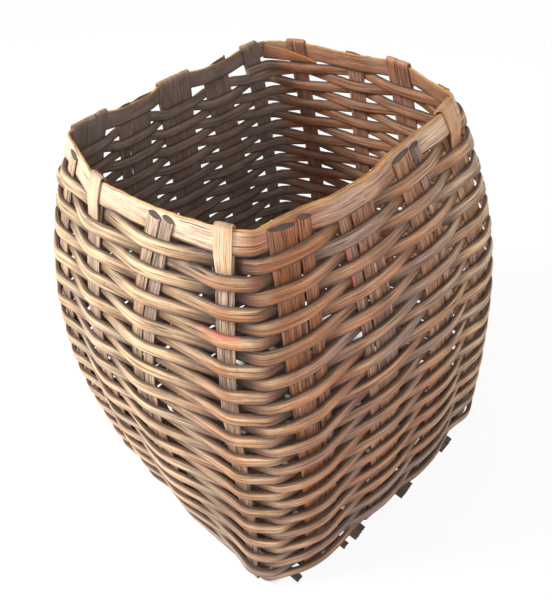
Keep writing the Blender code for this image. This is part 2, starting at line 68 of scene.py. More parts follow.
# How far the middle of each wall bows out, at the base, the belly and the mouth
SOUTH_BOW = (-0.0030, 0.0240, 0.0275)
EAST_BOW = (0.0215, 0.0120, 0.0200)
NORTH_BOW = (0.0040, 0.0230, 0.0250)
WEST_BOW = (0.0100, 0.0130, 0.0065)

# Split strips
STAKE_THICKNESS = 0.0020
SINGLE_STAKE = 0.0200
EDGE_STAKE = 0.0160
PAIRED_SPLINT = 0.0135
WIDE_SPLINT = 0.0260
NARROW_SPLINT = 0.0125
BROAD_STAKE = 0.0310
WEAVER_WIDTH = 0.0106
WEAVER_THICKNESS = 0.0034
BAND_WIDTH = 0.0200
BAND_THICKNESS = 0.0020
PLY_WIDTH = 0.0130
PLY_THICKNESS = 0.0012
SCARF_TIP = 0.0005
CORNER_STAKE = 0.0200
CORNER_STAKE_FOOT = 0.0120
NARROW_SLAT = 0.0085
SLAT = 0.0185
WIDE_SLAT = 0.0230
FILLER = 0.0240
WIDE_FILLER = 0.0460

# Spaces between the strips
CLEARANCE = 0.0003
EDGE_MARGIN = 0.0010
CORNER_MARGIN = 0.30
SPLINT_GAP = 0.0010
PLY_GAP = 0.0012
ROW_GAP = 0.0017
FLOOR_BEND = 0.0060
BAND_DROP = 0.0005
BAND_TO_ROW = 0.0020
TAB_TUCK = 0.0075
SLAT_OVERHANG = 0.0070

# Patterns
WALL_STEPS = 12
STAKES_PER_WEAVER = 32

# Stakes that run under the floor and up two walls: the name, the widths of the splints,
# and the place of the group's middle at the foot, the belly and the rim, along the first
# wall and then along the second, as a share of half the wall. Each wall's places count in
# the weaver's direction of travel, so a stake has opposite signs on its two walls. A place
# too near the corner for the weave is drawn back. The uprights of a wall are cut off and
# folded in turn.
LONG_STAKES = (
    ("long_stake_1", (SINGLE_STAKE,), (-0.64, -0.73, -0.76), (0.64, 0.70, 0.71)),
    ("long_stake_2", (SINGLE_STAKE,), (-0.37, -0.31, -0.25), (0.37, 0.26, 0.15)),
    ("long_stake_3", (PAIRED_SPLINT, PAIRED_SPLINT), (0.10, 0.13, 0.43), (-0.10, -0.20, -0.30)),
    ("long_stake_4", (EDGE_STAKE,), (0.81, 0.78, 0.89), (-0.81, -0.78, -0.83)),
)
CROSS_STAKES = (
    ("cross_stake_1", (WIDE_SPLINT, NARROW_SPLINT), (-0.672, -0.71, -0.735), (0.672, 0.72, 0.74)),
    ("cross_stake_2", (NARROW_SPLINT, WIDE_SPLINT), (-0.18, -0.18, -0.265), (0.18, 0.25, 0.32)),
    ("cross_stake_3", (WIDE_SPLINT, NARROW_SPLINT), (0.265, 0.36, 0.275), (-0.265, -0.17, -0.075)),
    ("cross_stake_4", (BROAD_STAKE,), (0.71, 0.78, 0.83), (-0.71, -0.60, -0.47)),
)
CORNER_STAKE_PLACE = (-0.925, -0.93, -0.86)

# Floor strips that carry no upright: name, place as a share of half the floor, width
BASE_SLATS = (
    ("base_slat_1", -0.845, NARROW_SLAT),
    ("base_slat_2", -0.500, NARROW_SLAT),
    ("base_slat_3", -0.385, SLAT),
    ("base_slat_4", 0.045, WIDE_SLAT),
    ("base_slat_5", 0.503, WIDE_SLAT),
)
FLOOR_FILLERS = (
    ("floor_filler_1", -0.145, FILLER),
    ("floor_filler_2", 0.478, WIDE_FILLER),
)

# What only the visible surface has. At the rim: how far a cut end stands below it on the two
# near walls and on the two far ones, the slope that a knife leaves, the fold's rise, the
# bend of its corners, where it starts below the rim, and the share of width that a broad
# stake keeps past it. Of a pair: the share of width lost at the rim, near and far. A minus
# turns the drop into a rise and the loss into a gain.
CUT_DROP = 0.0035
FAR_CUT_DROP = -0.0018
CUT_BEVEL = 0.0046
FOLD_RISE = 0.0016
FOLD_BEND = 0.0015
FOLD_START = 0.012
BROAD_TAPER = 0.84
PAIR_PARTING = 0.08
FAR_PARTING = -0.03

# How softly strips bend: the radius of a weaver at an upright and at a corner, of the band
# at an upright and at a corner, of a stake up the wall, and of a strip in the floor
WEAVER_BEND = 0.007
WEAVER_CORNER_BEND = 0.005
BAND_BEND = 0.006
BAND_CORNER_BEND = 0.0035
WALL_BEND = 0.006
STRIP_BEND = 0.003

# How far a weaver bulges, as a share of its usual bulge, beside a corner and inside
CORNER_SWING = 1.9
INNER_SWING = 0.4

# The mesh of a splint: the lanes across it, the distance between its rows, how near its
# ends the last rows are, the step and the run past its ends in which its line is eased,
# the angle below which it is shaded smooth, and its least height above the ground
LANES = 10
ROW_SPACING = 0.002
END_ROW = 0.0003
EASE_STEP = 0.00025
EASE_PAD = 0.03
SMOOTH_BELOW = math.radians(38)
GROUND_GAP = 0.0001

# Where the outer lane of a splint runs, how much thinner its edges are than its middle,
# and how far an end's slant, its torn fibres and a knife's pale edge reach along it
OUTER_LANE = 0.88
EDGE_THINNING = 0.42
SLANT_REACH = 0.012
FRAY_REACH = 0.010
BRIM_REACH = 0.003

# Where the random waves of each kind of splint start, so that no two splints are alike
WEAVER_SEED_STEP = 0.83
STAKE_SEED = 21.0
FLOOR_SEED = 41.0
SEED_STEP = 0.71
BAND_SEED = 61.0
PLY_SEED = 63.0
TORN_END_SEED = 65.0

# The place on the rim that hands have rubbed, along X and Y
HELD_PLACE = (0.128, -0.112)

# Old red paint: whether it is on a weaver, the ends of the mark and how far it reaches
PAINT_MARKS = (
    (1, (0.0980, -0.1600, 0.3320), (0.1400, -0.1520, 0.3280), 0.0036),
    (0, (0.1509, -0.0530, 0.3640), (0.1575, -0.0510, 0.3270), 0.0042),
)

WEAVE_OFFSET = STAKE_THICKNESS / 2 + CLEARANCE + WEAVER_THICKNESS / 2
BAND_OFFSET = STAKE_THICKNESS / 2 + CLEARANCE + BAND_THICKNESS / 2
TAB_STEP = (BAND_THICKNESS + STAKE_THICKNESS) / 2 + CLEARANCE
TUCK_STEP = STAKE_THICKNESS + CLEARANCE
FLOOR_STEP = (STAKE_THICKNESS + CLEARANCE) / 2
FLOOR_MID = FLOOR_STEP + STAKE_THICKNESS / 2
FOOT_LEVEL = FLOOR_MID + FLOOR_BEND
ARC_PULL = 1 - 0.5 ** 0.5
KNOTS = [HEIGHT * i / WALL_STEPS for i in range(WALL_STEPS + 1)]
UP = Vector((0, 0, 1))

# The lamps, each with its direction from the basket, its size and its power
AIM = Vector((0, 0, 0.2))
LAMP_DISTANCE = 1.8
LAMPS = (
    ("key", (-0.55, -0.75, 0.95), 0.6, 45.0),
    ("fill", (0.9, -0.35, 0.7), 1.6, 17.0),
)

# The camera, as it stood for the photo
CAMERA_PLACE = (0.4697, -0.3876, 0.709)
CAMERA_RIGHT = (0.69511, 0.71115, -0.1053)
CAMERA_AHEAD = (-0.5932, 0.48463, -0.64284)
SENSOR_WIDTH = 36.0
CAMERA_LENS = SENSOR_WIDTH * 746.8 / 552


# How the walls run

def profile(z, base, belly, mouth):
    """A size at one level: two parabolas that meet at the belly."""
    if z < BELLY_LEVEL:
        t = (BELLY_LEVEL - z) / BELLY_LEVEL
        return belly - (belly - base) * t * t
    t = (z - BELLY_LEVEL) / (HEIGHT - BELLY_LEVEL)
    return belly - (belly - mouth) * t * t


def along(values, z):
    """Read a value between the knots of the wall, in straight steps."""
    step = HEIGHT / WALL_STEPS
    i = min(max(int(z / step), 0), WALL_STEPS - 1)
    t = z / step - i
    return values[i] + (values[i + 1] - values[i]) * t


def span_about(z):
    """Levels half a weaver below and above, kept on the wall."""
    return max(z - WEAVER_WIDTH / 2, 0.0), min(z + WEAVER_WIDTH / 2, HEIGHT)


HALF_X = [profile(z, BASE_X, BELLY_X, MOUTH_X) / 2 for z in KNOTS]
HALF_Y = [profile(z, BASE_Y, BELLY_Y, MOUTH_Y) / 2 for z in KNOTS]


def corner(uneven):
    """Distances of one corner from the middle, along X and along Y, at each knot."""
    return [
        [half + profile(z, *offsets) for half, z in zip(halves, KNOTS)]
        for halves, offsets in zip((HALF_X, HALF_Y), uneven)
    ]


class Wall:
    """One wall: its outward direction, the weaver's direction of travel and its sizes."""

    def __init__(self, out, way, first, second, bow):
        self.out = Vector(out)
        self.way = Vector(way)
        axis = 0 if self.way.x else 1
        self.halves = (HALF_X, HALF_Y)[axis]
        self.back = first[axis]
        self.front = second[axis]
        self.near = first[1 - axis]
        self.far = second[1 - axis]
        self.bows = [profile(z, *bow) for z in KNOTS]

    def length(self, z):
        """Length of the wall from corner to corner."""
        return along(self.back, z) + along(self.front, z)

    def share(self, z, place):
        """How far along the wall a place is, from 0 at its first corner to 1."""
        return (place + along(self.back, z)) / self.length(z)

    def reach(self, z, place):
        """Distance from the middle of the basket to the wall at a place along it."""
        share = self.share(z, place)
        flat = along(self.near, z) * (1 - share) + along(self.far, z) * share
        return flat + along(self.bows, z) * 4 * share * (1 - share)

    def turn(self, z, place):
        """Outward run of the wall for each metre along it."""
        bend = along(self.bows, z) * 4 * (1 - 2 * self.share(z, place))
        return (along(self.far, z) - along(self.near, z) + bend) / self.length(z)


SOUTH = Wall((0, -1, 0), (1, 0, 0), corner(SOUTH_WEST), corner(SOUTH_EAST), SOUTH_BOW)
EAST = Wall((1, 0, 0), (0, 1, 0), corner(SOUTH_EAST), corner(NORTH_EAST), EAST_BOW)
NORTH = Wall((0, 1, 0), (-1, 0, 0), corner(NORTH_EAST), corner(NORTH_WEST), NORTH_BOW)
WEST = Wall((-1, 0, 0), (0, -1, 0), corner(NORTH_WEST), corner(SOUTH_WEST), WEST_BOW)


def corner_pull(z):
    """How far a rounded corner is drawn in from the square one, along each axis."""
    t = min(1.0, max(0.0, (HEIGHT - z) / (HEIGHT - BELLY_LEVEL)))
    return ARC_PULL * (CORNER_MOUTH + (CORNER_BELLY - CORNER_MOUTH) * t)


def corner_point(first, second, z, offset):
    """The weave's turning point between two walls."""
    move = offset - corner_pull(z)
    point = first.out * (along(first.far, z) + move)
    return point + second.out * (along(second.near, z) + move) + UP * z


ARC = [0.0]
for step in range(WALL_STEPS):
    rise = KNOTS[step + 1] - KNOTS[step]
    run = (HALF_X[step + 1] - HALF_X[step] + HALF_Y[step + 1] - HALF_Y[step]) / 2
    ARC.append(ARC[-1] + (rise * rise + run * run) ** 0.5)


def height_at(arc):
    """Height of the point that lies this far up the wall."""
    i = 0
    while i < WALL_STEPS - 1 and ARC[i + 1] < arc:
        i += 1
    t = (arc - ARC[i]) / (ARC[i + 1] - ARC[i])
    return KNOTS[i] + (KNOTS[i + 1] - KNOTS[i]) * t


BAND_FOOT = ARC[-1] - BAND_DROP - BAND_WIDTH
BAND_LEVEL = height_at(BAND_FOOT + BAND_WIDTH / 2)
FIRST_ROW = FOOT_LEVEL + 2 * CLEARANCE + WEAVER_WIDTH / 2
LAST_ROW = BAND_FOOT - BAND_TO_ROW - WEAVER_WIDTH / 2
TURNS = round((LAST_ROW - FIRST_ROW) / (WEAVER_WIDTH + ROW_GAP)) + 1
PITCH = (LAST_ROW - FIRST_ROW) / (TURNS - 1)


class Upright:
    """One upright, single or of splints side by side, on one wall."""

    def __init__(self, wall, widths, places, folded, foot_widths=None):
        self.wall = wall
        self.widths = widths
        self.foot_widths = foot_widths or widths
        self.folded = folded
        self.tucked = folded
        self.plied = wall is EAST
        self.after_corner = False
        self.before_corner = False
        self.places = []
        for z, half in zip(KNOTS, wall.halves):
            place = profile(z, *places) * half
            place = max(place, -self.limit(z, wall.back))
            self.places.append(min(place, self.limit(z, wall.front)))
        self.outs = [wall.reach(z, place) for z, place in zip(KNOTS, self.places)]
        self.turns = [wall.turn(z, place) for z, place in zip(KNOTS, self.places)]

    def width(self, z):
        """Width of the whole group."""
        foot = sum(self.foot_widths)
        splints = foot + (sum(self.widths) - foot) * z / HEIGHT
        return splints + SPLINT_GAP * (len(self.widths) - 1)

    def limit(self, z, corners):
        """Farthest place towards a corner that leaves the weave room to turn."""
        room = along(corners, z) - corner_pull(z) - WEAVE_OFFSET - CLEARANCE
        return room - self.corner_space(z) - self.width(z) / 2

    def corner_space(self, z):
        """Room beside the group on the side of a corner."""
        return EDGE_MARGIN + CORNER_MARGIN * corner_pull(z)

    def place(self, z):
        """Where the group's middle stands along its wall."""
        return along(self.places, z)

    def tangent(self, z):
        """Level direction across the group, which follows the bow of the wall."""
        return (self.wall.way + self.wall.out * along(self.turns, z)).normalized()

    def lean(self, z):
        """Level run of the group for each metre of rise."""
        low, high = span_about(z)
        out = along(self.outs, high) - along(self.outs, low)
        side = along(self.places, high) - along(self.places, low)
        return (self.wall.out * out + self.wall.way * side) / (high - low)

    def point(self, side, z, offset):
        """A point beside the group's middle line, at a height, and off its surface."""
        normal, run = self.face(z)
        scale = (1 + run * run) ** 0.5
        point = self.wall.out * along(self.outs, z) + self.wall.way * self.place(z)
        point += self.tangent(z) * side
        return point + normal * (offset / scale) + UP * (z - offset * run / scale)

    def face(self, z):
        """Level direction off the group's face, and the face's run that way with each rise."""
        tangent = self.tangent(z)
        normal = Vector((tangent.y, -tangent.x, 0))
        return normal, self.lean(z).dot(normal)

    def reaches(self, z):
        """How far a row lies flat behind and ahead of the group's middle."""
        near = self.width(z) / 2 + EDGE_MARGIN
        wide = self.width(z) / 2 + self.corner_space(z)
        return (wide if self.after_corner else near), (wide if self.before_corner else near)

    def splint(self, index, z):
        """One splint's distance from the group's middle, and its width, at a height."""
        sizes = [
            foot + (top - foot) * z / HEIGHT for top, foot in zip(self.widths, self.foot_widths)]
        start = sum(sizes[:index]) + SPLINT_GAP * index + sizes[index] / 2
        parting = PAIR_PARTING if self.wall in (SOUTH, EAST) else FAR_PARTING
        shrunk = 1 - parting * (len(sizes) - 1) * z / HEIGHT
        return start - self.width(z) / 2, sizes[index] * shrunk

    def splint_stop(self, index, z, offset, radius=WALL_BEND):
        """A stop on one splint: the point, the direction across, the width and the bend."""
        side, width = self.splint(index, z)
        return Stop(self.point(side, z, offset), self.tangent(z), width, STAKE_THICKNESS, radius)


class Stop:
    """One point on a splint's middle line, with what the splint is like there."""

    def __init__(self, point, across, width, thickness, radius, proud=0.0):
        self.point, self.across = point, across
        self.width, self.thickness = width, thickness
        self.radius, self.proud = radius, proud

    def turned(self):
        """The same stop, looked at from the other wall."""
        return Stop(self.point, -self.across, self.width, self.thickness, self.radius, self.proud)


def build_uprights():
    """List the uprights in the order in which the weaver meets them."""
    ring = []
    for wall, stakes, second, step in ((SOUTH, LONG_STAKES, 0, 1), (EAST, CROSS_STAKES, 0, 1),
                                       (NORTH, LONG_STAKES, 1, -1), (WEST, CROSS_STAKES, 1, -1)):
        if wall is WEST:
            ring.append(Upright(WEST, (CORNER_STAKE,), CORNER_STAKE_PLACE, True, (CORNER_STAKE_FOOT,)))
        for i, (_, widths, *places) in list(enumerate(stakes))[::step]:
            ring.append(Upright(wall, widths[::step], places[second], (i + second) % 2 == 1))
    for i, upright in enumerate(ring):
        upright.after_corner = ring[i - 1].wall is not upright.wall
        upright.before_corner = ring[(i + 1) % len(ring)].wall is not upright.wall
    # This stake is cut off although the band passes outside it
    ring[5].tucked = False
    return ring


# From 0, four uprights each on the south, east and north walls, then the corner stake and
# the four of the west wall
RING = build_uprights()


def band_offset(upright):
    """Offset of the rim band at an upright, which it passes outside or inside."""
    if not upright.folded:
        return -BAND_OFFSET
    return BAND_OFFSET + (PLY_THICKNESS + PLY_GAP if upright.plied else 0.0)


def pass_level(turn, upright):
    """Distance up the wall of the weaver's middle where it passes an upright."""
    base = FIRST_ROW + (turn - 1) * PITCH
    if upright.wall is not WEST:
        return base
    z = height_at(base + PITCH / 2)
    return base + PITCH * WEST.share(z, upright.place(z))


def tuck_turn(wall):
    """The turn of the weaver that holds the folded ends of a wall."""
    return TURNS - 2 if wall is WEST else TURNS - 1


# Where each splint runs

def wall_run(upright, index):
    """Stops of one splint from the foot of its wall to its end at the rim."""
    levels = [FOOT_LEVEL] + [z for z in KNOTS[1:-1] if z > FOOT_LEVEL]
    line = [upright.splint_stop(index, z, 0.0) for z in levels]
    scale = (1 + upright.face(BAND_LEVEL)[1] ** 2) ** 0.5
    rim_z = BAND_LEVEL + BAND_WIDTH / 2 / scale
    rim = upright.splint_stop(index, rim_z, 0.0)
    up = (rim.point - line[-1].point).normalized()
    out = upright.splint_stop(index, rim_z, 1.0).point - rim.point
    if not upright.tucked:
        rim.point -= up * (CUT_DROP if upright.wall in (SOUTH, EAST) else FAR_CUT_DROP)
        return line + [rim]
    reach = band_offset(upright) + TAB_STEP
    lift = STAKE_THICKNESS / 2 + 2 * CLEARANCE + FOLD_RISE
    broad = BROAD_TAPER if upright.widths[0] == BROAD_STAKE else 1.0
    line.append(Stop(rim.point - up * FOLD_START, rim.across, rim.width, STAKE_THICKNESS, FOLD_BEND))
    for side, rise, share in ((0.0, 0.0, 1.0), (0.1, lift, 0.98), (0.9, lift, 0.96), (1.0, 0.0, 0.95)):
        point = rim.point + out * reach * side + up * rise
        width = rim.width * (share if side < 0.5 else share * broad)
        line.append(Stop(point, rim.across, width, STAKE_THICKNESS, FOLD_BEND, side))
    # The tail narrows as it runs down outside the band and under the row that holds it
    row = height_at(pass_level(tuck_turn(upright.wall), upright))
    edge = row + (WEAVER_WIDTH / 2 + 2 * CLEARANCE) / scale
    foot = height_at(BAND_FOOT - CLEARANCE)
    tail = ((foot, reach, 0.92), (edge, TUCK_STEP, 0.86), (edge - TAB_TUCK, TUCK_STEP, 0.8))
    for z, offset, share in tail:
        stop = upright.splint_stop(index, z, offset, 0.002)
        stop.width *= share * broad ** (2.2 if z < foot else 1.3)
        stop.proud = 1.0
        line.append(stop)
    return line


def members(uprights, strips, halves):
    """Place and width of each strip that crosses the floor one way, in order."""
    found = [(upright.place(0.0), upright.width(0.0)) for upright in uprights]
    return sorted(found + [(place * halves[0], width) for _, place, width in strips])


# What runs along Y, from west to east, and what runs along X, from south to north
LONGS = members(RING[:4], FLOOR_FILLERS, HALF_X)
CROSSES = members(RING[4:8], BASE_SLATS, HALF_Y)


def floor_levels(crossed, beside, place, sign):
    """Stations of a floor strip over or under what it crosses, by its order beside others."""
    own = min(range(len(beside)), key=lambda i: abs(beside[i][0] - place))
    stations = []
    for order, (middle, width) in enumerate(crossed):
        level = FLOOR_MID + sign * FLOOR_STEP * (1 if (order + own) % 2 else -1)
        reach = width / 2 + EDGE_MARGIN
        stations += [(middle - reach, level), (middle + reach, level)]
    return stations


def floor_turn(upright, index, level):
    """Stops of the turn from the floor into a wall, seen from the floor."""
    side, width = upright.splint(index, 0.0)
    edge = upright.outs[0]
    radius = FOOT_LEVEL - level
    way = upright.wall.way
    tangent = upright.tangent(0.0)
    flat = upright.wall.out * (edge - radius) + way * (upright.place(0.0) + side)
    half_way = (way + tangent).normalized()
    middle = upright.wall.out * (edge - radius * ARC_PULL) + way * upright.place(0.0)
    middle += half_way * side
    return (
        Stop(flat + UP * level, way, width, STAKE_THICKNESS, 0.002),
        Stop(middle + UP * (level + radius * ARC_PULL), half_way, width, STAKE_THICKNESS, STRIP_BEND),
    )


def stake_line(index, first, second, levels):
    """Stops of one splint: down its first wall, across the floor and up the second."""
    mirrored = len(second.widths) - 1 - index
    axis = first.wall.out
    if axis.x + axis.y > 0:
        levels = levels[::-1]
    flat, middle = floor_turn(first, index, levels[0][1])
    end_flat, end_middle = floor_turn(second, mirrored, levels[-1][1])
    line = wall_run(first, index)[::-1] + [middle, flat]
    axis_along = Vector((abs(axis.x), abs(axis.y), 0))
    way = first.wall.way
    length = (end_flat.point - flat.point).dot(axis_along)
    drift = (end_flat.point - flat.point).dot(way)
    for place, level in levels:
        t = (place - flat.point.dot(axis_along)) / length
        side = flat.point.dot(way) + drift * t
        point = axis_along * place + way * side + UP * level
        line.append(Stop(point, way, flat.width, STAKE_THICKNESS, STRIP_BEND))
    line.extend(stop.turned() for stop in [end_flat, end_middle] + wall_run(second, mirrored))
    return line


def crossing(upright, z, offset, width, thickness, radius, bulge=0.0):
    """The stops of a row past an upright, at both edges and in the middle."""
    behind, ahead = upright.reaches(z)
    up = (upright.lean(z) + UP).normalized()
    proud = 1.0 if offset > 0 else 0.0
    return [
        Stop(upright.point(side, z, offset + more), up, width, thickness, radius, proud)
        for side, more in ((-behind, 0.0), ((ahead - behind) / 2, bulge), (ahead, 0.0))
    ]


def corner_stop(upright, offset, after, after_offset, z, width, thickness, radius):
    """The stop at which a row turns from one wall to the next."""
    first = upright.wall
    second = after.wall
    back = along(first.front, z) - upright.place(z) - upright.reaches(z)[1]
    front = along(second.back, z) + after.place(z) - after.reaches(z)[0]
    bend = offset + (after_offset - offset) * back / (back + front)
    low, high = span_about(z)
    rise = corner_point(first, second, high, 0.0) - corner_point(first, second, low, 0.0)
    lean = rise / (high - low) - UP
    slope = (lean.dot(first.out) + lean.dot(second.out)) / 2
    point = corner_point(first, second, z, bend)
    point -= UP * (bend * slope / (1 + slope * slope) ** 0.5)
    return Stop(point, (lean + UP).normalized(), width, thickness, radius, 0.8)


def scarf_tip(near, far, thickness, starts):
    """The thin tip in which a strip starts or ends, on one of its faces, to lap over another."""
    shift = (SCARF_TIP + CLEARANCE) / (thickness - SCARF_TIP)
    back = (thickness - SCARF_TIP) / 2
    share, offset = (shift / (1 + shift), -back) if starts else (1 / (1 + shift), back)
    normal = (far.point - near.point).normalized().cross(near.across)
    point = near.point.lerp(far.point, share) + normal * offset
    return Stop(point, near.across, near.width, SCARF_TIP, near.radius, near.proud)


def weave_passes():
    """Every place where the long weaver passes an upright, from the first to the last."""
    passes = []
    for turn in range(1, TURNS + 1):
        for k, upright in enumerate(RING):
            if turn == TURNS and upright.wall is WEST:
                passes.append((upright, height_at(LAST_ROW), -WEAVE_OFFSET))
                break
            z = height_at(pass_level(turn, upright))
            outside = (turn + k) % 2 == TURNS % 2
            offset = WEAVE_OFFSET if outside else -WEAVE_OFFSET
            if outside and upright.tucked and turn == tuck_turn(upright.wall):
                offset += TUCK_STEP
            passes.append((upright, z, offset))
    return passes


def weaver_lines(bulge):
    """The long weaver's lengths, each a list of stops."""
    passes = weave_passes()
    first = 0 if passes[0][2] < 0 else 1
    last = len(passes) - 1
    bounds = list(range(first, last, STAKES_PER_WEAVER))
    if last - bounds[-1] < STAKES_PER_WEAVER / 4 and len(bounds) > 1:
        bounds.pop()
    bounds.append(last)
    lines = []
    for start, stop in zip(bounds, bounds[1:]):
        line = []
        for i in range(start, stop + 1):
            upright, z, offset = passes[i]
            swing = 1 + noise.noise(Vector((i * 0.77, 4.1, 0.0)))
            swing *= CORNER_SWING if upright.after_corner or upright.before_corner else 1.0
            more = bulge * swing if offset > 0 else -bulge * INNER_SWING
            stops = crossing(upright, z, offset, WEAVER_WIDTH, WEAVER_THICKNESS, WEAVER_BEND, more)
            if i == start and i > first:
                stops = [scarf_tip(stops[0], stops[-1], WEAVER_THICKNESS, True), stops[-1]]
            if i == stop and i < last:
                stops = [stops[0], scarf_tip(stops[0], stops[-1], WEAVER_THICKNESS, False)]
            line.extend(stops)
            if i == stop:
                break
            after, after_z, after_offset = passes[i + 1]
            if after.wall is not upright.wall:
                turn_z = after_z if upright.wall is WEST else z
                line.append(corner_stop(upright, offset, after, after_offset, turn_z,
                                        WEAVER_WIDTH, WEAVER_THICKNESS, WEAVER_CORNER_BEND))
        lines.append(line)
    return lines


def band_line(first, last):
    """Stops of the rim band past a run of uprights."""
    line = []
    for k in range(first, last + 1):
        upright = RING[k % len(RING)]
        offset = band_offset(upright)
        line.extend(crossing(upright, BAND_LEVEL, offset, BAND_WIDTH, BAND_THICKNESS, BAND_BEND))
        after = RING[(k + 1) % len(RING)]
        if k < last and after.wall is not upright.wall:
            line.append(corner_stop(upright, offset, after, band_offset(after), BAND_LEVEL,
                                    BAND_WIDTH, BAND_THICKNESS, BAND_CORNER_BEND))
    return line


def torn_end():
    """The band's torn inner end, which slopes down inside the last upright before a corner."""
    before, after = RING[11], RING[12]
    thickness = 0.0010
    inside = -(STAKE_THICKNESS / 2 + 2 * CLEARANCE + thickness / 2 + 0.0003)
    start = corner_stop(before, 0.0002, after, 0.0002, BAND_LEVEL - 0.001, 0.0185, thickness, 0.004)
    start.point += after.wall.way * 0.0025
    behind, ahead = before.reaches(BAND_LEVEL)
    line = [start]
    for side, drop, width in ((ahead + 0.001, 0.0035, 0.0155), (-behind, 0.0072, 0.0086),
                              (-behind - 0.012, 0.0097, 0.0030)):
        z = BAND_LEVEL - drop
        up = (before.lean(z) + UP).normalized()
        line.append(Stop(before.point(side, z, inside), up, width, thickness, 0.004, 0.2))
    return line


# How a splint is made

def ease(line):
    """Turn a splint's stops into closely spaced rows of numbers with soft bends.

    Each row holds the point, the direction across, the width, the thickness and how far
    the splint stands proud of the wall. A bend is softened by averaging the line over
    the bend's own radius, twice.
    """
    rows = np.array([
        (*stop.point, *stop.across, stop.width, stop.thickness, stop.proud) for stop in line])
    lengths = np.linalg.norm(np.diff(rows[:, :3], axis=0), axis=1)
    marks = np.concatenate(([0.0], np.cumsum(lengths)))
    places = np.arange(-EASE_PAD, marks[-1] + EASE_PAD, EASE_STEP)
    values = np.column_stack([np.interp(places, marks, column) for column in rows.T])
    for end, step, inner in ((0, -1, 1), (-1, 1, -2)):
        slope = (rows[end, :3] - rows[inner, :3]) / abs(marks[end] - marks[inner])
        beyond = np.clip(step * (places - marks[end]), 0.0, None)
        values[:, :3] += beyond[:, None] * slope
    reach = np.interp(places, marks, [stop.radius for stop in line])
    grid = np.concatenate((places - EASE_STEP / 2, [places[-1] + EASE_STEP / 2]))
    after = np.minimum(places + reach, grid[-1])
    before = np.maximum(places - reach, grid[0])
    for _ in range(2):
        sums = np.vstack((np.zeros(values.shape[1]), np.cumsum(values, axis=0))) * EASE_STEP
        values = np.column_stack([
            (np.interp(after, grid, column) - np.interp(before, grid, column)) / (after - before)
            for column in sums.T])
    count = max(8, int(round(marks[-1] / ROW_SPACING)))
    between = np.linspace(0.0, marks[-1], count + 1)[1:-1]
    wanted = np.concatenate(([0.0, END_ROW], between, [marks[-1] - END_ROW, marks[-1]]))
    return wanted, np.column_stack([np.interp(wanted, places, column) for column in values.T])


def ripple(marks, seed, length):
    """A smooth random wave between about -1 and 1 along a splint."""
    return np.array([noise.noise(Vector((m / length, seed * 7.31, seed * 1.7))) for m in marks]) * 1.8


def furrows(marks, seed):
    """Lengthwise furrows between bundles of fibres, from 0 to 1, for each row and lane."""
    deep = [[noise.noise(Vector((m / 0.08, j * 0.73 + seed * 5.1, seed))) for j in range(LANES + 1)]
            for m in marks]
    return smooth(np.array(deep), 0.02, 0.32)


class Shape:
    """The cross-section of a splint and how uneven it is, with what most splints share."""

    slant = fray = ridges = stouter = clean = 0.0
    wider = thicker = 1.0
    ragged = 0.00022
    twist = 0.015

    def __init__(self, roundness, crown, uneven, wander, **more):
        self.roundness, self.crown = roundness, crown
        self.uneven, self.wander = uneven, wander
        vars(self).update(more)


def flat_strip(name, count):
    """Add a flat strip of so many rows and give it thickness."""
    bpy.ops.object.select_all(action="DESELECT")
    bpy.ops.mesh.primitive_grid_add(x_subdivisions=count, y_subdivisions=LANES, size=2)
    strip = bpy.context.object
    strip.name = name
    strip.data.name = name
    thick = strip.modifiers.new("Thickness", "SOLIDIFY")
    thick.thickness = 2.0
    thick.offset = 0.0
    bpy.ops.object.modifier_apply(modifier=thick.name)
    return strip


def seats_of(mesh, count):
    """For each point of a flat strip: its row, its lane, its side and its face."""
    flat = np.empty(len(mesh.vertices) * 3)
    mesh.vertices.foreach_get("co", flat)
    flat = flat.reshape(-1, 3)
    index = np.clip(np.rint((flat[:, 0] + 1) / 2 * count).astype(int), 0, count)
    lane = np.clip(np.rint((flat[:, 1] + 1) / 2 * LANES).astype(int), 0, LANES)
    return index, lane, flat[:, 1], np.sign(flat[:, 2])


def directions(marks, rows, shape, seed):
    """The middle line of a splint, and the ways along, across and off it, at each row."""
    along_way = np.gradient(rows[:, :3], marks, axis=0)
    along_way /= np.linalg.norm(along_way, axis=1)[:, None]
    across = rows[:, 3:6] - along_way * np.sum(rows[:, 3:6] * along_way, axis=1)[:, None]
    across /= np.linalg.norm(across, axis=1)[:, None]
    normal = np.cross(along_way, across)
    middle = rows[:, :3] + normal * ((2 * rows[:, 8] - 1) * shape.stouter / 2)[:, None]
    roll = ripple(marks, seed + 0.3, 0.055) * shape.twist
    normal, across = (
        normal * np.cos(roll)[:, None] - across * np.sin(roll)[:, None],
        across * np.cos(roll)[:, None] + normal * np.sin(roll)[:, None],
    )
    middle += across * (ripple(marks, seed + 0.6, 0.09) * shape.wander)[:, None]
    return middle, along_way, across, normal


def uneven_sizes(marks, rows, shape, seed):
    """The width, the thickness and the ragged run of both edges, at each row."""
    width = rows[:, 6] * shape.wider * (1 + ripple(marks, seed + 0.1, 0.05) * shape.uneven)
    thickness = rows[:, 7] * shape.thicker
    thickness += shape.stouter * np.clip(rows[:, 7] / WEAVER_THICKNESS * 2 - 1, 0, 1)
    thickness *= 1 + ripple(marks, seed + 0.2, 0.035) * shape.uneven * 0.8
    left = ripple(marks, seed + 0.5, 0.012) * Shape.ragged
    right = ripple(marks, seed + 0.4, 0.009) * shape.ragged
    return width, thickness, left, right


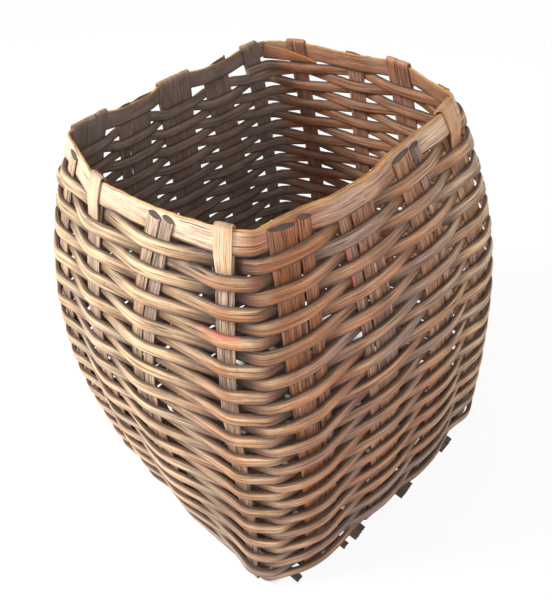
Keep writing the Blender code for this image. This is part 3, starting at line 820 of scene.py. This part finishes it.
def shape_ends(side, face, start, end, width, shape, seed, cuts):
    """How far each point slides along at an end, and where a knife has cut or thinned it.

    start and end are the distances from the two ends. An end slants or is torn, and a
    knife leaves an arc that slopes outward.
    """
    slide = shape.slant * side * np.clip(1 - np.minimum(start, end) / SLANT_REACH, 0, 1) * width
    cut = np.zeros(len(side))
    brim = np.zeros(len(side))
    for inward, near, knife in ((1, start, cuts[0]), (-1, end, cuts[1])):
        if shape.fray:
            torn = [abs(noise.noise(Vector((s * 2.3 + seed, inward * -5.0, 3.1)))) for s in side]
            slide += inward * np.array(torn) * shape.fray * np.clip(1 - near / FRAY_REACH, 0, 1)
        if knife:
            arc = CUT_BEVEL * (0.35 + 0.65 * np.sqrt(np.clip(1 - side * side, 0, 1)))
            bevel = np.where(face > 0, arc, CUT_BEVEL * 0.5 * side * side)
            slide += inward * bevel * np.clip(1 - near / (3 * CUT_BEVEL), 0, 1)
            last = near < 1e-6
            cut[last] = 1.0
            brim = np.maximum(brim, np.where(~last & (face > 0), 1 - near / BRIM_REACH, 0.0))
    return slide, cut, brim


def map_grain(mesh, along_by, across_by):
    """Map each corner of the mesh by the places along and across the grain."""
    uv = mesh.uv_layers.active or mesh.uv_layers.new(name="Grain")
    uv.name = "Grain"
    loops = np.empty(len(mesh.loops), dtype=np.int64)
    mesh.loops.foreach_get("vertex_index", loops)
    uv.data.foreach_set("uv", np.column_stack((along_by, across_by))[loops].ravel())


def lay_splint(name, line, shape, seed, slot, cuts=(False, False), ending="_split"):
    """Lay a strip along its line as one closed splint that replaces its solid.

    cuts says which ends are cut across with a knife. ending is what the name of the
    visible piece has after the solid's.
    """
    marks, rows = ease(line)
    splint = flat_strip(name + ending, len(marks) - 1)
    mesh = splint.data
    index, lane, side, face = seats_of(mesh, len(marks) - 1)
    middle, along_way, across, normal = (
        part[index] for part in directions(marks, rows, shape, seed))
    width, thickness, left, right = (
        part[index] for part in uneven_sizes(marks, rows, shape, seed))
    proud = rows[index, 8]
    furrow = furrows(marks, seed)[index, lane]
    if slot != "weaver_splint":
        furrow *= 0.65 - 0.45 * proud

    spread = np.sign(side) * np.interp(np.abs(side), (0, 1 - 2 / LANES, 1), (0, OUTER_LANE, 1))
    height = 1 - EDGE_THINNING * np.abs(spread) ** shape.roundness
    crown = 1 + shape.crown * (np.cos(side * math.pi / 2) - 0.6)
    crown -= shape.ridges * furrow * np.clip((1 - np.abs(side)) * 4, 0, 1)
    start = marks[index]
    slide, cut, brim = shape_ends(
        side, face, start, marks[-1] - start, rows[index, 6], shape, seed, cuts)
    across_by = spread * width / 2 + np.where(side > 0, right, left) * side
    normal_by = face * height * crown * thickness / 2
    place = middle + across * across_by[:, None] + normal * normal_by[:, None]
    place += along_way * slide[:, None]
    place[:, 2] = np.maximum(place[:, 2], GROUND_GAP)
    mesh.vertices.foreach_set("co", place.ravel())
    map_grain(mesh, start + seed * 3.7, spread * width / 2 + face * 0.02 + seed * 0.11)

    tone = ripple(marks, seed + 0.9, 0.11)[index] * 1.1 + 0.5 * math.sin(seed * 12.9)
    facing = normal * face[:, None]
    worn_and_lit = where_worn_lit_and_shaded(slot, shape.clean, place, facing, across, side, width, proud, tone)
    worn_and_lit.update(furrow=furrow, cut=cut, brim=brim)
    for word, values in worn_and_lit.items():
        layer = mesh.attributes.new(word, "FLOAT", "POINT")
        layer.data.foreach_set("value", np.clip(values, 0, 1).astype(np.float32))
    mesh.update()
    bpy.ops.object.mode_set(mode="EDIT")
    bpy.ops.mesh.select_all(action="SELECT")
    bpy.ops.mesh.normals_make_consistent(inside=False)
    bpy.ops.object.mode_set(mode="OBJECT")
    bpy.ops.object.shade_smooth_by_angle(angle=SMOOTH_BELOW)
    mesh.materials.clear()
    mesh.materials.append(finish_of(slot))
    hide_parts(name)
    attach(splint, "root")


# Where the wood has gone pale, red and dark, and where light and shade are painted on it

def smooth(value, low, high):
    """Rise from 0 to 1 between two values."""
    t = np.clip((value - low) / (high - low), 0, 1)
    return t * t * (3 - 2 * t)


def where_aged_lit_and_shaded(place, facing, proud, tone, woven):
    """How pale, red, grey and dark the wood is at each point of a splint, with painted light on the
    south wall's outside, painted highlights on the front corner's bends, and painted shade in sunk rows
    and inside the west wall.
    """
    plan = np.linalg.norm(place[:, :2], axis=1) + 1e-9
    outward = np.sum(facing[:, :2] * place[:, :2], axis=1) / plan
    outside = smooth(outward, -0.3, 0.3)
    inside = 1 - outside
    x = place[:, 0] / (BELLY_X / 2)
    y = place[:, 1] / (BELLY_Y / 2)
    south, east, north, west = (
        smooth(out - np.abs(aside) * 0.9, -0.15, 0.15)
        for out, aside in ((-y, x), (x, y), (y, x), (-x, y)))
    east_face = smooth(x - np.abs(y) * 0.9, 0.0, 0.2)
    height = np.clip(place[:, 2] / HEIGHT, 0, 1)
    # The front corner, the place on its rim that hands wore, and rows behind a stake
    corner = np.exp(-((x - 0.85) ** 2 + (y + 0.85) ** 2) / 0.10)
    held = (place[:, 0] - HELD_PLACE[0]) ** 2 + (place[:, 1] - HELD_PLACE[1]) ** 2
    handled = np.exp(-held / 0.0011) * smooth(height, 0.85, 0.93)
    sunk = (1 - proud) * woven
    diagonal = (facing[:, 0] - facing[:, 1]) / 2 ** 0.5
    # Outside, the south wall and the two far ones are dried out and pale; on the south wall, the lit
    # side, part of this pale is painted light
    dry_and_lit = 0.95 * south * (1 - (0.2 + 0.45 * woven) * smooth(x, 0.25, 0.9))
    dry_and_lit = dry_and_lit * (1 - 0.25 * smooth(-x, 0.4, 0.9)) + 0.18 * east + 0.5 * (north + west)
    bleach_and_painted_light = outside * dry_and_lit * (0.74 + 0.26 * smooth(height, 0.1, 0.6)) * (1 - 0.6 * sunk)
    bleach_and_painted_light += outside * (0.08 * tone + 0.48 * east * smooth(y, 0.1, 0.9)) + inside * 0.13 * north
    # The east wall, the front corner and the inside are red-brown
    red = 0.68 * east * (0.72 + 0.28 * woven) * (1 - 0.45 * smooth(y, 0.1, 0.8))
    red = outside * (red + 0.32 * south * (1 - height) + 0.25 * north + 0.2 * west)
    red += 1.4 * (1 - (1 - east_face) * (1 - woven)) * corner * outside * (1 - 0.5 * sunk)
    red += 1.5 * handled * east_face
    bleach_and_painted_light -= 0.7 * handled * east_face
    # Painted highlight on the bends of the front corner, where a weaver faces along the corner's
    # diagonal
    bleach_and_painted_light += 0.6 * smooth(diagonal, 0.9, 1.0) * corner * outside * woven * proud
    red += inside * (0.85 * north + 0.4 * east + 0.2 * south) + 0.45 * np.clip(tone, 0, 1)
    # The inside of the west wall is grey and darkened with painted shade; painted shade also darkens
    # the rows sunk behind a stake, more at the front corner, and the wood is darker towards the bottom
    grey = inside * (1.0 * west + 0.3 * north) + outside * 0.25 * (1 - smooth(height, 0.05, 0.3))
    grey += outside * (1 - corner) * (0.12 * east + 0.6 * np.clip(-tone, 0, 1))
    soot_and_shade = inside * (0.31 * west + 0.04 * north)
    low_darkening = 0.12 * smooth(0.25 - height, 0, 0.25)
    soot_and_shade += outside * (sunk * (0.54 + 0.46 * corner) + low_darkening + 0.16 * corner)
    calm = inside * (0.9 * west + 0.4 * north)
    return {"bleach_and_painted_light": bleach_and_painted_light, "red": red, "grey": grey, "soot_and_shade": soot_and_shade, "calm": calm}


def paint_on(place, woven):
    """How much old red paint there is at each point of a weaver or a stake."""
    paint = np.zeros(len(place))
    for on_weaver, start, stop, radius in PAINT_MARKS:
        start, stop = np.array(start), np.array(stop)
        share = np.clip((place - start) @ (stop - start) / np.sum((stop - start) ** 2), 0, 1)
        far = np.linalg.norm(place - start - share[:, None] * (stop - start), axis=1)
        paint = np.maximum(paint, (woven == on_weaver) * smooth(radius * 1.3 - far, 0, radius * 0.6))
    return paint


def where_worn_lit_and_shaded(slot, clean, place, facing, across, side, width, proud, tone):
    """Every mark on a splint's points: age with painted light and shade, the ledge of an edge, a rubbed
    fold and paint.
    """
    woven = 1.0 if slot == "weaver_splint" else 0.0
    worn_and_lit = where_aged_lit_and_shaded(place, facing, proud, tone, woven)
    inward = (1 - np.abs(side)) * width / WEAVER_WIDTH * (0.65 if slot == "rim_splint" else 1.0)
    edge = np.sign(side) * np.clip(1 - inward, 0, 1) * across[:, 2] * 1.03
    worn_and_lit["ledge"] = (1 + edge) / 2
    worn_and_lit["level"] = smooth(np.abs(across[:, 2]), 0.4, 0.9)
    worn_and_lit["paint"] = paint_on(place, woven)
    worn_and_lit["red"] += 0.5 * clean
    worn_and_lit["grey"] *= 1 - clean
    worn_and_lit["soot_and_shade"] *= 1 - clean
    fold = np.zeros(len(side))
    if slot == "stake_splint":
        crest = smooth(facing[:, 2], 0.3, 0.8) * smooth(place[:, 2] / HEIGHT, 0.93, 0.97)
        fold = np.maximum(proud, crest)
        worn_and_lit["bleach_and_painted_light"] *= 0.7
        worn_and_lit["grey"] *= 1 - 0.8 * crest
    worn_and_lit["fold"] = fold
    worn_and_lit["bleach_and_painted_light"] += 0.35 * fold
    worn_and_lit["calm"] += fold
    return worn_and_lit


# Materials

def linear(code):
    """Turn an sRGB hex colour into linear red, green and blue."""
    parts = [int(code[i:i + 2], 16) / 255 for i in (1, 3, 5)]
    return tuple(c / 12.92 if c <= 0.04045 else ((c + 0.055) / 1.055) ** 2.4 for c in parts)


def add(tree, kind, links=(), **settings):
    """Add a node with its settings, and feed its inputs from other nodes or plain values."""
    node = tree.nodes.new(kind)
    for key, value in settings.items():
        setattr(node, key, value)
    for socket, source in dict(links).items():
        if isinstance(source, bpy.types.NodeSocket):
            tree.links.new(source, node.inputs[socket])
        else:
            node.inputs[socket].default_value = source
    return node


def fresh(name):
    """An empty node material and its shader."""
    made = bpy.data.materials.new(name)
    made.use_nodes = True
    tree = made.node_tree
    tree.nodes.clear()
    shader = tree.nodes.new("ShaderNodeBsdfPrincipled")
    output = tree.nodes.new("ShaderNodeOutputMaterial")
    tree.links.new(shader.outputs[0], output.inputs["Surface"])
    return made, tree, shader


def split_wood(name, base, pale, rust, top, fibre, contrast, roughness, relief):
    """Aged split hardwood: long fibres, pale faces partly of wear and partly of painted light, rusty
    and sooty patches, a painted highlight on each crest and painted shade on lower and upper edges.

    fibre is the width of one bundle of fibres in metres. Bundles run about forty times
    as far as they are wide. top is the colour of faces that look up, of settled dirt with painted
    shade.
    """
    made, tree, shader = fresh(name)
    tones = bpy.context.scene.basket_tones
    colour = (*base, 1)
    uv = add(tree, "ShaderNodeUVMap", uv_map="Grain").outputs[0]
    place = add(tree, "ShaderNodeTexCoord").outputs["Object"]

    def noise_at(where, scale, detail, rough, **settings):
        return add(tree, "ShaderNodeTexNoise", {"Vector": where, "Scale": scale, "Detail": detail,
                                                "Roughness": rough}, **settings).outputs["Fac"]

    def streaks(length, width, detail, rough):
        scaled = add(tree, "ShaderNodeVectorMath", {0: uv, 1: (1 / length, 1 / width, 1.0)},
                     operation="MULTIPLY").outputs[0]
        return noise_at(scaled, 1.0, detail, rough, noise_dimensions="2D")

    def between(value, low, high, start, stop):
        return add(tree, "ShaderNodeMapRange", {"Value": value, "From Min": low, "From Max": high,
                                                "To Min": start, "To Max": stop}).outputs[0]

    def maths(operation, one, two, clamp=True):
        return add(tree, "ShaderNodeMath", {0: one, 1: two}, operation=operation,
                   use_clamp=clamp).outputs[0]

    def times(one, two):
        return maths("MULTIPLY", one, two)

    def mark(word):
        return add(tree, "ShaderNodeAttribute", attribute_name=word).outputs["Fac"]

    def cover(share, shade):
        nonlocal colour
        colour = add(tree, "ShaderNodeMix", {"Factor": share, "A": colour, "B": (*shade, 1)},
                     data_type="RGBA").outputs["Result"]

    fibres = streaks(fibre * 40, fibre, 6.0, 0.62)
    bands = streaks(0.060, 0.0030, 3.0, 0.55)
    cracks = streaks(0.045, 0.0010, 2.0, 0.5)
    patches = noise_at(place, 38.0, 4.0, 0.6)
    specks = noise_at(place, 420.0, 2.0, 0.5)
    facing = add(tree, "ShaderNodeNewGeometry").outputs["Normal"]
    facing = add(tree, "ShaderNodeSeparateXYZ", {0: facing}).outputs["Z"]

    # Worn faces, with the painted light on them, go pale in bands along the grain
    worn_and_lit = maths("ADD", mark("bleach_and_painted_light"), between(bands, 0.3, 0.7, -0.32, 0.32))
    cover(times(worn_and_lit, between(patches, 0.3, 0.7, 0.8, 1.15)), pale)
    redness = times(mark("red"), between(patches, 0.35, 0.65, 0.6, 1.15))
    cover(times(redness, between(bands, 0.3, 0.7, 1.0, 0.8)), rust)
    cover(times(mark("grey"), between(fibres, 0.35, 0.65, 0.6, 1.1)), tones.silver)
    # A painted highlight along the crest, painted shade with dirt on the lower edge, and dusty colour
    # with painted shade on what looks up
    ledge = maths("ADD", mark("ledge"), between(fibres, 0.3, 0.7, -0.05, 0.05), False)
    ledge = maths("ADD", ledge, between(bands, 0.3, 0.7, -0.06, 0.06), False)
    crest = times(between(ledge, 0.3, 0.7, 0.0, 1.0), between(ledge, 0.86, 0.80, 0.0, 1.0))
    crest = maths("MAXIMUM", times(crest, mark("level")), mark("brim"))
    cover(times(crest, between(mark("bleach_and_painted_light"), 0.05, 0.9, 0.06, 0.8)), pale)
    cover(between(ledge, 0.22, 0.04, 0.0, 0.84), tones.soot_and_shade)
    cover(between(ledge, 0.84, 0.90, 0.0, 0.7), top)
    cover(between(facing, 0.45, 0.7, 0.0, 0.7), top)
    cover(times(mark("fold"), between(bands, 0.3, 0.7, 0.4, 0.1)), tones.gold)
    # Pale and dark fibres, furrows and cracks
    light = times(between(fibres, 0.56, 0.74, 0.0, 0.42), between(mark("bleach_and_painted_light"), 0.0, 0.5, 0.3, 1.0))
    cover(light, pale)
    coarse = between(mark("calm"), 0.0, 1.0, 1.0, 0.35)
    cover(times(times(mark("furrow"), contrast), coarse), tones.soot_and_shade)
    cover(times(between(fibres, 0.36, 0.60, contrast, 0.0), coarse), tones.soot_and_shade)
    cover(times(between(cracks, 0.30, 0.41, 0.85, 0.0), coarse), tones.soot_and_shade)
    # Sooty dirt and painted shade, specks of dirt, old red paint and the grey wood of a cut end
    cover(maths("ADD", mark("soot_and_shade"), between(patches, 0.3, 0.7, -0.18, 0.18)), tones.soot_and_shade)
    cover(between(specks, 0.66, 0.74, 0.0, 0.55), tones.soot_and_shade)
    cover(times(mark("paint"), between(bands, 0.4, 0.6, 0.3, 0.8)), linear("#b85a4c"))
    cover(times(mark("cut"), 0.9), linear("#5f5046"))
    tree.links.new(colour, shader.inputs["Base Color"])
    dull = between(fibres, 0.3, 0.7, roughness + 0.12, roughness - 0.08)
    tree.links.new(dull, shader.inputs["Roughness"])
    # Fibres stand up and cracks lie deep
    rise = add(tree, "ShaderNodeMath", {0: bands, 1: 0.6, 2: fibres},
               operation="MULTIPLY_ADD").outputs[0]
    rise = maths("ADD", rise, between(cracks, 0.26, 0.36, -0.6, 0.0), False)
    bump = add(tree, "ShaderNodeBump", {"Height": rise, "Strength": relief, "Distance": 0.0008})
    tree.links.new(bump.outputs[0], shader.inputs["Normal"])
    shader.inputs["IOR"].default_value = 1.5
    shader.inputs["Specular IOR Level"].default_value = 0.35
    return made


# The wood of each slot: its name, its brown tone, its pale tone that also gives painted light, its red
# tone and its top tone of dust and painted shade, the width of a bundle of fibres, and the strength of
# its dark fibres, its roughness and its relief
WOODS = {
    # Split oak, shaved half round and rubbed by hands, so its crown shines a little
    "weaver_splint": ("aged_split_oak_weaver", ("weaver", "bleached_and_lit", "rust", "dust_and_shade"),
                      (0.0011, 0.46, 0.42, 0.9)),
    # Riven oak left rough, with open fibres that catch dirt
    "stake_splint": ("aged_riven_oak_stake", ("stake", "bleached_and_lit_stake", "rust", "dust_and_shade"),
                     (0.0013, 0.72, 0.58, 1.0)),
    # Wide oak splint scraped flat, dried out and pale outside, with painted light on its south side,
    # and red-brown inside
    "rim_splint": ("aged_scraped_oak_rim", ("rim", "bleached_and_lit_stake", "rust", "gold"),
                   (0.0010, 0.36, 0.50, 0.7)),
    # Oak slat gone grey-black where it stands on the ground
    "weathered_slat": ("weathered_oak_slat", ("slat", "slat_grey", "slat", "slat_grey"),
                       (0.0012, 0.6, 0.75, 0.9)),
}


def finish_of(slot):
    """The material of one slot's splints, made on first use."""
    name, words, strengths = WOODS[slot]
    tones = [getattr(bpy.context.scene.basket_tones, word) for word in words]
    return bpy.data.materials.get(name) or split_wood(name, *tones, *strengths)


# What a user can change

class BasketSplints(bpy.types.PropertyGroup):
    """Sizes of the splints' uneven surfaces."""

    bulge: FloatProperty(
        name="Bulge", description="How far a weaver stands off in the middle of an upright",
        default=0.0018, min=0.0, max=0.006, unit="LENGTH")
    wander: FloatProperty(
        name="Wander", description="How far a weaver strays up and down from its row",
        default=0.0006, min=0.0, max=0.003, unit="LENGTH")
    uneven: FloatProperty(
        name="Uneven width", description="Share by which a splint's width changes along it",
        default=0.05, min=0.0, max=0.3, subtype="FACTOR")
    crown: FloatProperty(
        name="Crown", description="How much thicker a weaver is along its middle",
        default=0.18, min=0.0, max=1.0, subtype="FACTOR")


def colour_of(name, description, code):
    """A colour that the panel shows."""
    return FloatVectorProperty(
        name=name, description=description, subtype="COLOR", min=0, max=1, default=linear(code))


class BasketTones(bpy.types.PropertyGroup):
    """Colours of the aged wood, which also give its painted light and painted shade."""

    weaver: colour_of("Weaver", "Brown of the weavers", "#9c6b4b")
    # The pale of the weavers also gives painted light and the painted highlight on their crests
    bleached_and_lit: colour_of("Bleached", "Golden tan of the worn weavers", "#f0cc9c")
    stake: colour_of("Stake", "Brown of the stakes", "#b48b74")
    # The pale of the stakes and rim also gives painted light and the painted highlight on the rim's
    # crest
    bleached_and_lit_stake: colour_of("Bleached stake", "Pale tan of dry stakes and rim", "#e9cdae")
    rim: colour_of("Rim", "Brown of the rim band", "#a98a78")
    rust: colour_of("Rust", "Orange brown of the handled corner and the inside", "#b8672c")
    # Also the colour of painted shade on lower edges, in sunk rows and inside the west wall
    soot_and_shade: colour_of("Soot", "Dark umber of grooves and dirt", "#3a2f29")
    # Also painted shade on the weavers' upper faces
    dust_and_shade: colour_of("Dust", "Dull brown of the splints' upper edges", "#735a4a")
    silver: colour_of("Silver", "Pinkish grey of dry, dirty wood", "#948680")
    gold: colour_of("Gold", "Rubbed golden edge of the rim", "#cc9a58")
    slat: colour_of("Slat", "Near black of the base slats", "#45403e")
    slat_grey: colour_of("Slat grey", "Grey of the slats' worn faces", "#6a625e")


# The pieces

class BASKET_OT_weave_weavers(bpy.types.Operator):
    """Weave the lengths of the long spiral weaver"""

    bl_idname = "basket.weave_weavers"
    bl_label = "Weavers"

    def execute(self, context):
        splints = context.scene.basket_splints
        shape = Shape(6.0, splints.crown, splints.uneven, splints.wander, ridges=0.22, wider=1.11,
                      stouter=0.0011, twist=0.07)
        for number, line in enumerate(weaver_lines(splints.bulge)):
            seed = number * WEAVER_SEED_STEP
            lay_splint(f"weaver_{number + 1:02d}", line, shape, seed, "weaver_splint")
        return {"FINISHED"}


class BASKET_OT_raise_stakes(bpy.types.Operator):
    """Raise the stakes that run under the floor and up the walls"""

    bl_idname = "basket.raise_stakes"
    bl_label = "Stakes"

    def execute(self, context):
        shape = Shape(5.0, 0.1, 0.05, 0.0002, slant=0.02, fray=0.0004, ridges=0.4)
        seed = STAKE_SEED
        # The ring runs on round the basket, so a stake's second upright counts down
        for stakes, start, end, beside, crossed, sign in (
                (LONG_STAKES, 0, 11, LONGS, CROSSES, 1),
                (CROSS_STAKES, 4, 16, CROSSES, LONGS, -1)):
            for i, (name, widths, _, _) in enumerate(stakes):
                first, second = RING[start + i], RING[end - i]
                levels = floor_levels(crossed, beside, first.place(0.0), sign)
                for j in range(len(widths)):
                    full = name if len(widths) == 1 else name + "ab"[j]
                    lay_splint(full, stake_line(j, first, second, levels), shape, seed, "stake_splint",
                               (not first.tucked, not second.tucked))
                    seed += SEED_STEP
        line = [stop.turned() for stop in wall_run(RING[12], 0)]
        lay_splint("corner_stake", line, shape, seed, "stake_splint")
        return {"FINISHED"}


class BASKET_OT_lay_floor(bpy.types.Operator):
    """Lay the dark base slats and the floor fillers"""

    bl_idname = "basket.lay_floor"
    bl_label = "Floor strips"

    def execute(self, context):
        shape = Shape(4.5, 0.05, 0.05, 0.0, slant=0.06, fray=0.002)
        seed = FLOOR_SEED
        slats = (BASE_SLATS, HALF_Y, WEST, EAST, SLAT_OVERHANG, CROSSES, LONGS, -1, "weathered_slat")
        fillers = (FLOOR_FILLERS, HALF_X, SOUTH, NORTH, -STAKE_THICKNESS, LONGS, CROSSES, 1,
                   "stake_splint")
        # A strip runs from its first wall to its second, past them or short of them
        for strips, halves, first, second, past, beside, crossed, sign, slot in (slats, fillers):
            for name, share, width in strips:
                place = share * halves[0]
                levels = floor_levels(crossed, beside, place, sign)
                start = first.reach(0.0, sign * place) + past
                end = second.reach(0.0, -sign * place) + past
                line = [
                    Stop(second.out * far + first.way * (sign * place) + UP * level, first.way,
                         width, STAKE_THICKNESS, STRIP_BEND)
                    for far, level in [(-start, levels[0][1])] + levels + [(end, levels[-1][1])]]
                lay_splint(name, line, shape, seed, slot)
                seed += SEED_STEP
        return {"FINISHED"}


class BASKET_OT_bind_rim(bpy.types.Operator):
    """Bind the rim with its wide band and the second ply inside it"""

    bl_idname = "basket.bind_rim"
    bl_label = "Rim"

    def execute(self, context):
        joint = 5
        line = band_line(joint, joint + len(RING))
        line[0] = scarf_tip(line[0], line[2], BAND_THICKNESS, True)
        line[-1] = scarf_tip(line[-3], line[-1], BAND_THICKNESS, False)
        del line[-2], line[1]
        shape = Shape(9.0, 0.02, 0.03, 0.0003, ridges=0.08, ragged=0.0004, thicker=1.35)
        lay_splint("rim_band", line, shape, BAND_SEED, "rim_splint")
        # The ply follows the band along the east wall, off its inner face
        inside = band_line(4, 7)[:-1]
        drop = BAND_THICKNESS / 2 + PLY_GAP + PLY_THICKNESS / 2
        shifted = []
        for before, stop, after in zip(inside[:1] + inside, inside, inside[1:] + inside[-1:]):
            normal = (after.point - before.point).normalized().cross(stop.across)
            point = stop.point - normal * drop + stop.across * (BAND_WIDTH - PLY_WIDTH) / 2
            shifted.append(Stop(point, stop.across, PLY_WIDTH, PLY_THICKNESS, BAND_BEND, 0.2))
        ply = Shape(4.5, 0.0, 0.06, 0.0003, slant=0.1, fray=0.002)
        lay_splint("rim_inner_ply", shifted, ply, PLY_SEED, "rim_splint")
        torn = Shape(9.0, 0.0, 0.04, 0.0002, slant=0.1, fray=0.003, clean=0.85)
        lay_splint("rim_band", torn_end(), torn, TORN_END_SEED, "rim_splint", ending="_torn_end")
        return {"FINISHED"}


class BASKET_OT_set_stage(bpy.types.Operator):
    """Set the floor, the lights and the camera"""

    bl_idname = "basket.set_stage"
    bl_label = "Stage"

    def execute(self, context):
        scene = context.scene
        scene.view_settings.view_transform = "Standard"
        bpy.ops.object.select_all(action="DESELECT")
        bpy.ops.mesh.primitive_plane_add(size=8, location=(0, 0, 0))
        floor = context.object
        floor.name = "floor"
        made, tree, shader = fresh("white_studio_floor")
        # Matt white paper, which the camera sees as white with a faint shadow
        shader.inputs["Base Color"].default_value = (0.9, 0.9, 0.9, 1)
        shader.inputs["Roughness"].default_value = 0.9
        glow = add(tree, "ShaderNodeEmission", {"Color": (1, 1, 1, 1), "Strength": 1.0}).outputs[0]
        seen = add(tree, "ShaderNodeLightPath").outputs["Is Camera Ray"]
        # Only the paper round the basket glows, so that what shows between its strips is dark
        spot = add(tree, "ShaderNodeTexCoord").outputs["Object"]
        for operation, other in (("MULTIPLY", {1: (2 / BASE_X, 2 / BASE_Y, 0)}), ("ABSOLUTE", {})):
            spot = add(tree, "ShaderNodeVectorMath", {0: spot, **other}, operation=operation).outputs[0]
        spot = add(tree, "ShaderNodeSeparateXYZ", {0: spot}).outputs
        spot = add(tree, "ShaderNodeMath", {0: spot["X"], 1: spot["Y"]}, operation="MAXIMUM").outputs[0]
        around = add(tree, "ShaderNodeMapRange", {"Value": spot, "From Min": 0.88, "From Max": 1.0,
                                                  "To Min": 0.0, "To Max": 0.88}).outputs[0]
        share = add(tree, "ShaderNodeMath", {0: seen, 1: around}, operation="MULTIPLY").outputs[0]
        blend = add(tree, "ShaderNodeMixShader", {0: share, 1: shader.outputs[0], 2: glow}).outputs[0]
        tree.links.new(blend, tree.nodes["Material Output"].inputs["Surface"])
        floor.data.materials.append(made)

        world = bpy.data.worlds.new("studio")
        world.use_nodes = True
        scene.world = world
        tree = world.node_tree
        tree.nodes.clear()
        seen = add(tree, "ShaderNodeLightPath").outputs["Is Camera Ray"]
        strength = add(tree, "ShaderNodeMix", {"Factor": seen, "A": 0.66, "B": 1.0}, data_type="FLOAT")
        light = add(tree, "ShaderNodeBackground",
                    {"Color": (1, 1, 1, 1), "Strength": strength.outputs["Result"]})
        add(tree, "ShaderNodeOutputWorld", {"Surface": light.outputs[0]})

        for name, way, size, power in LAMPS:
            place = AIM + Vector(way).normalized() * LAMP_DISTANCE
            bpy.ops.object.light_add(type="AREA", location=place)
            lamp = context.object
            lamp.name = name
            lamp.data.size = size
            lamp.data.energy = power
            lamp.rotation_euler = (place - AIM).to_track_quat("Z", "Y").to_euler()

        bpy.ops.object.camera_add()
        camera = context.object
        right = Vector(CAMERA_RIGHT).normalized()
        ahead = Vector(CAMERA_AHEAD).normalized()
        turn = Matrix((right, right.cross(ahead), -ahead)).transposed()
        camera.matrix_world = Matrix.Translation(CAMERA_PLACE) @ turn.to_4x4()
        camera.data.sensor_fit = "HORIZONTAL"
        camera.data.sensor_width = SENSOR_WIDTH
        camera.data.lens = CAMERA_LENS
        scene.camera = camera
        return {"FINISHED"}


class BASKET_PT_sidebar(bpy.types.Panel):
    """Lists the basket's pieces and their sizes"""

    bl_label = "Splint Basket"
    bl_idname = "BASKET_PT_sidebar"
    bl_space_type = "VIEW_3D"
    bl_region_type = "UI"
    bl_category = "Basket"

    def draw(self, context):
        layout = self.layout
        for group in (context.scene.basket_splints, context.scene.basket_tones):
            for word in group.bl_rna.properties.keys():
                if word not in {"rna_type", "name"}:
                    layout.prop(group, word)
        for step in STEPS:
            layout.operator(step.bl_idname)


STEPS = (
    BASKET_OT_weave_weavers,
    BASKET_OT_raise_stakes,
    BASKET_OT_lay_floor,
    BASKET_OT_bind_rim,
    BASKET_OT_set_stage,
)
GROUPS = (BasketSplints, BasketTones)


def register():
    for group in GROUPS + STEPS + (BASKET_PT_sidebar,):
        bpy.utils.register_class(group)
    bpy.types.Scene.basket_splints = PointerProperty(type=BasketSplints)
    bpy.types.Scene.basket_tones = PointerProperty(type=BasketTones)


def unregister():
    del bpy.types.Scene.basket_tones
    del bpy.types.Scene.basket_splints
    for group in reversed(GROUPS + STEPS + (BASKET_PT_sidebar,)):
        bpy.utils.unregister_class(group)


def main():
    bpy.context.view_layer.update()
    register()
    bpy.ops.basket.weave_weavers()
    bpy.ops.basket.raise_stakes()
    bpy.ops.basket.lay_floor()
    bpy.ops.basket.bind_rim()
    bpy.ops.basket.set_stage()


if __name__ == "__main__":
    main()
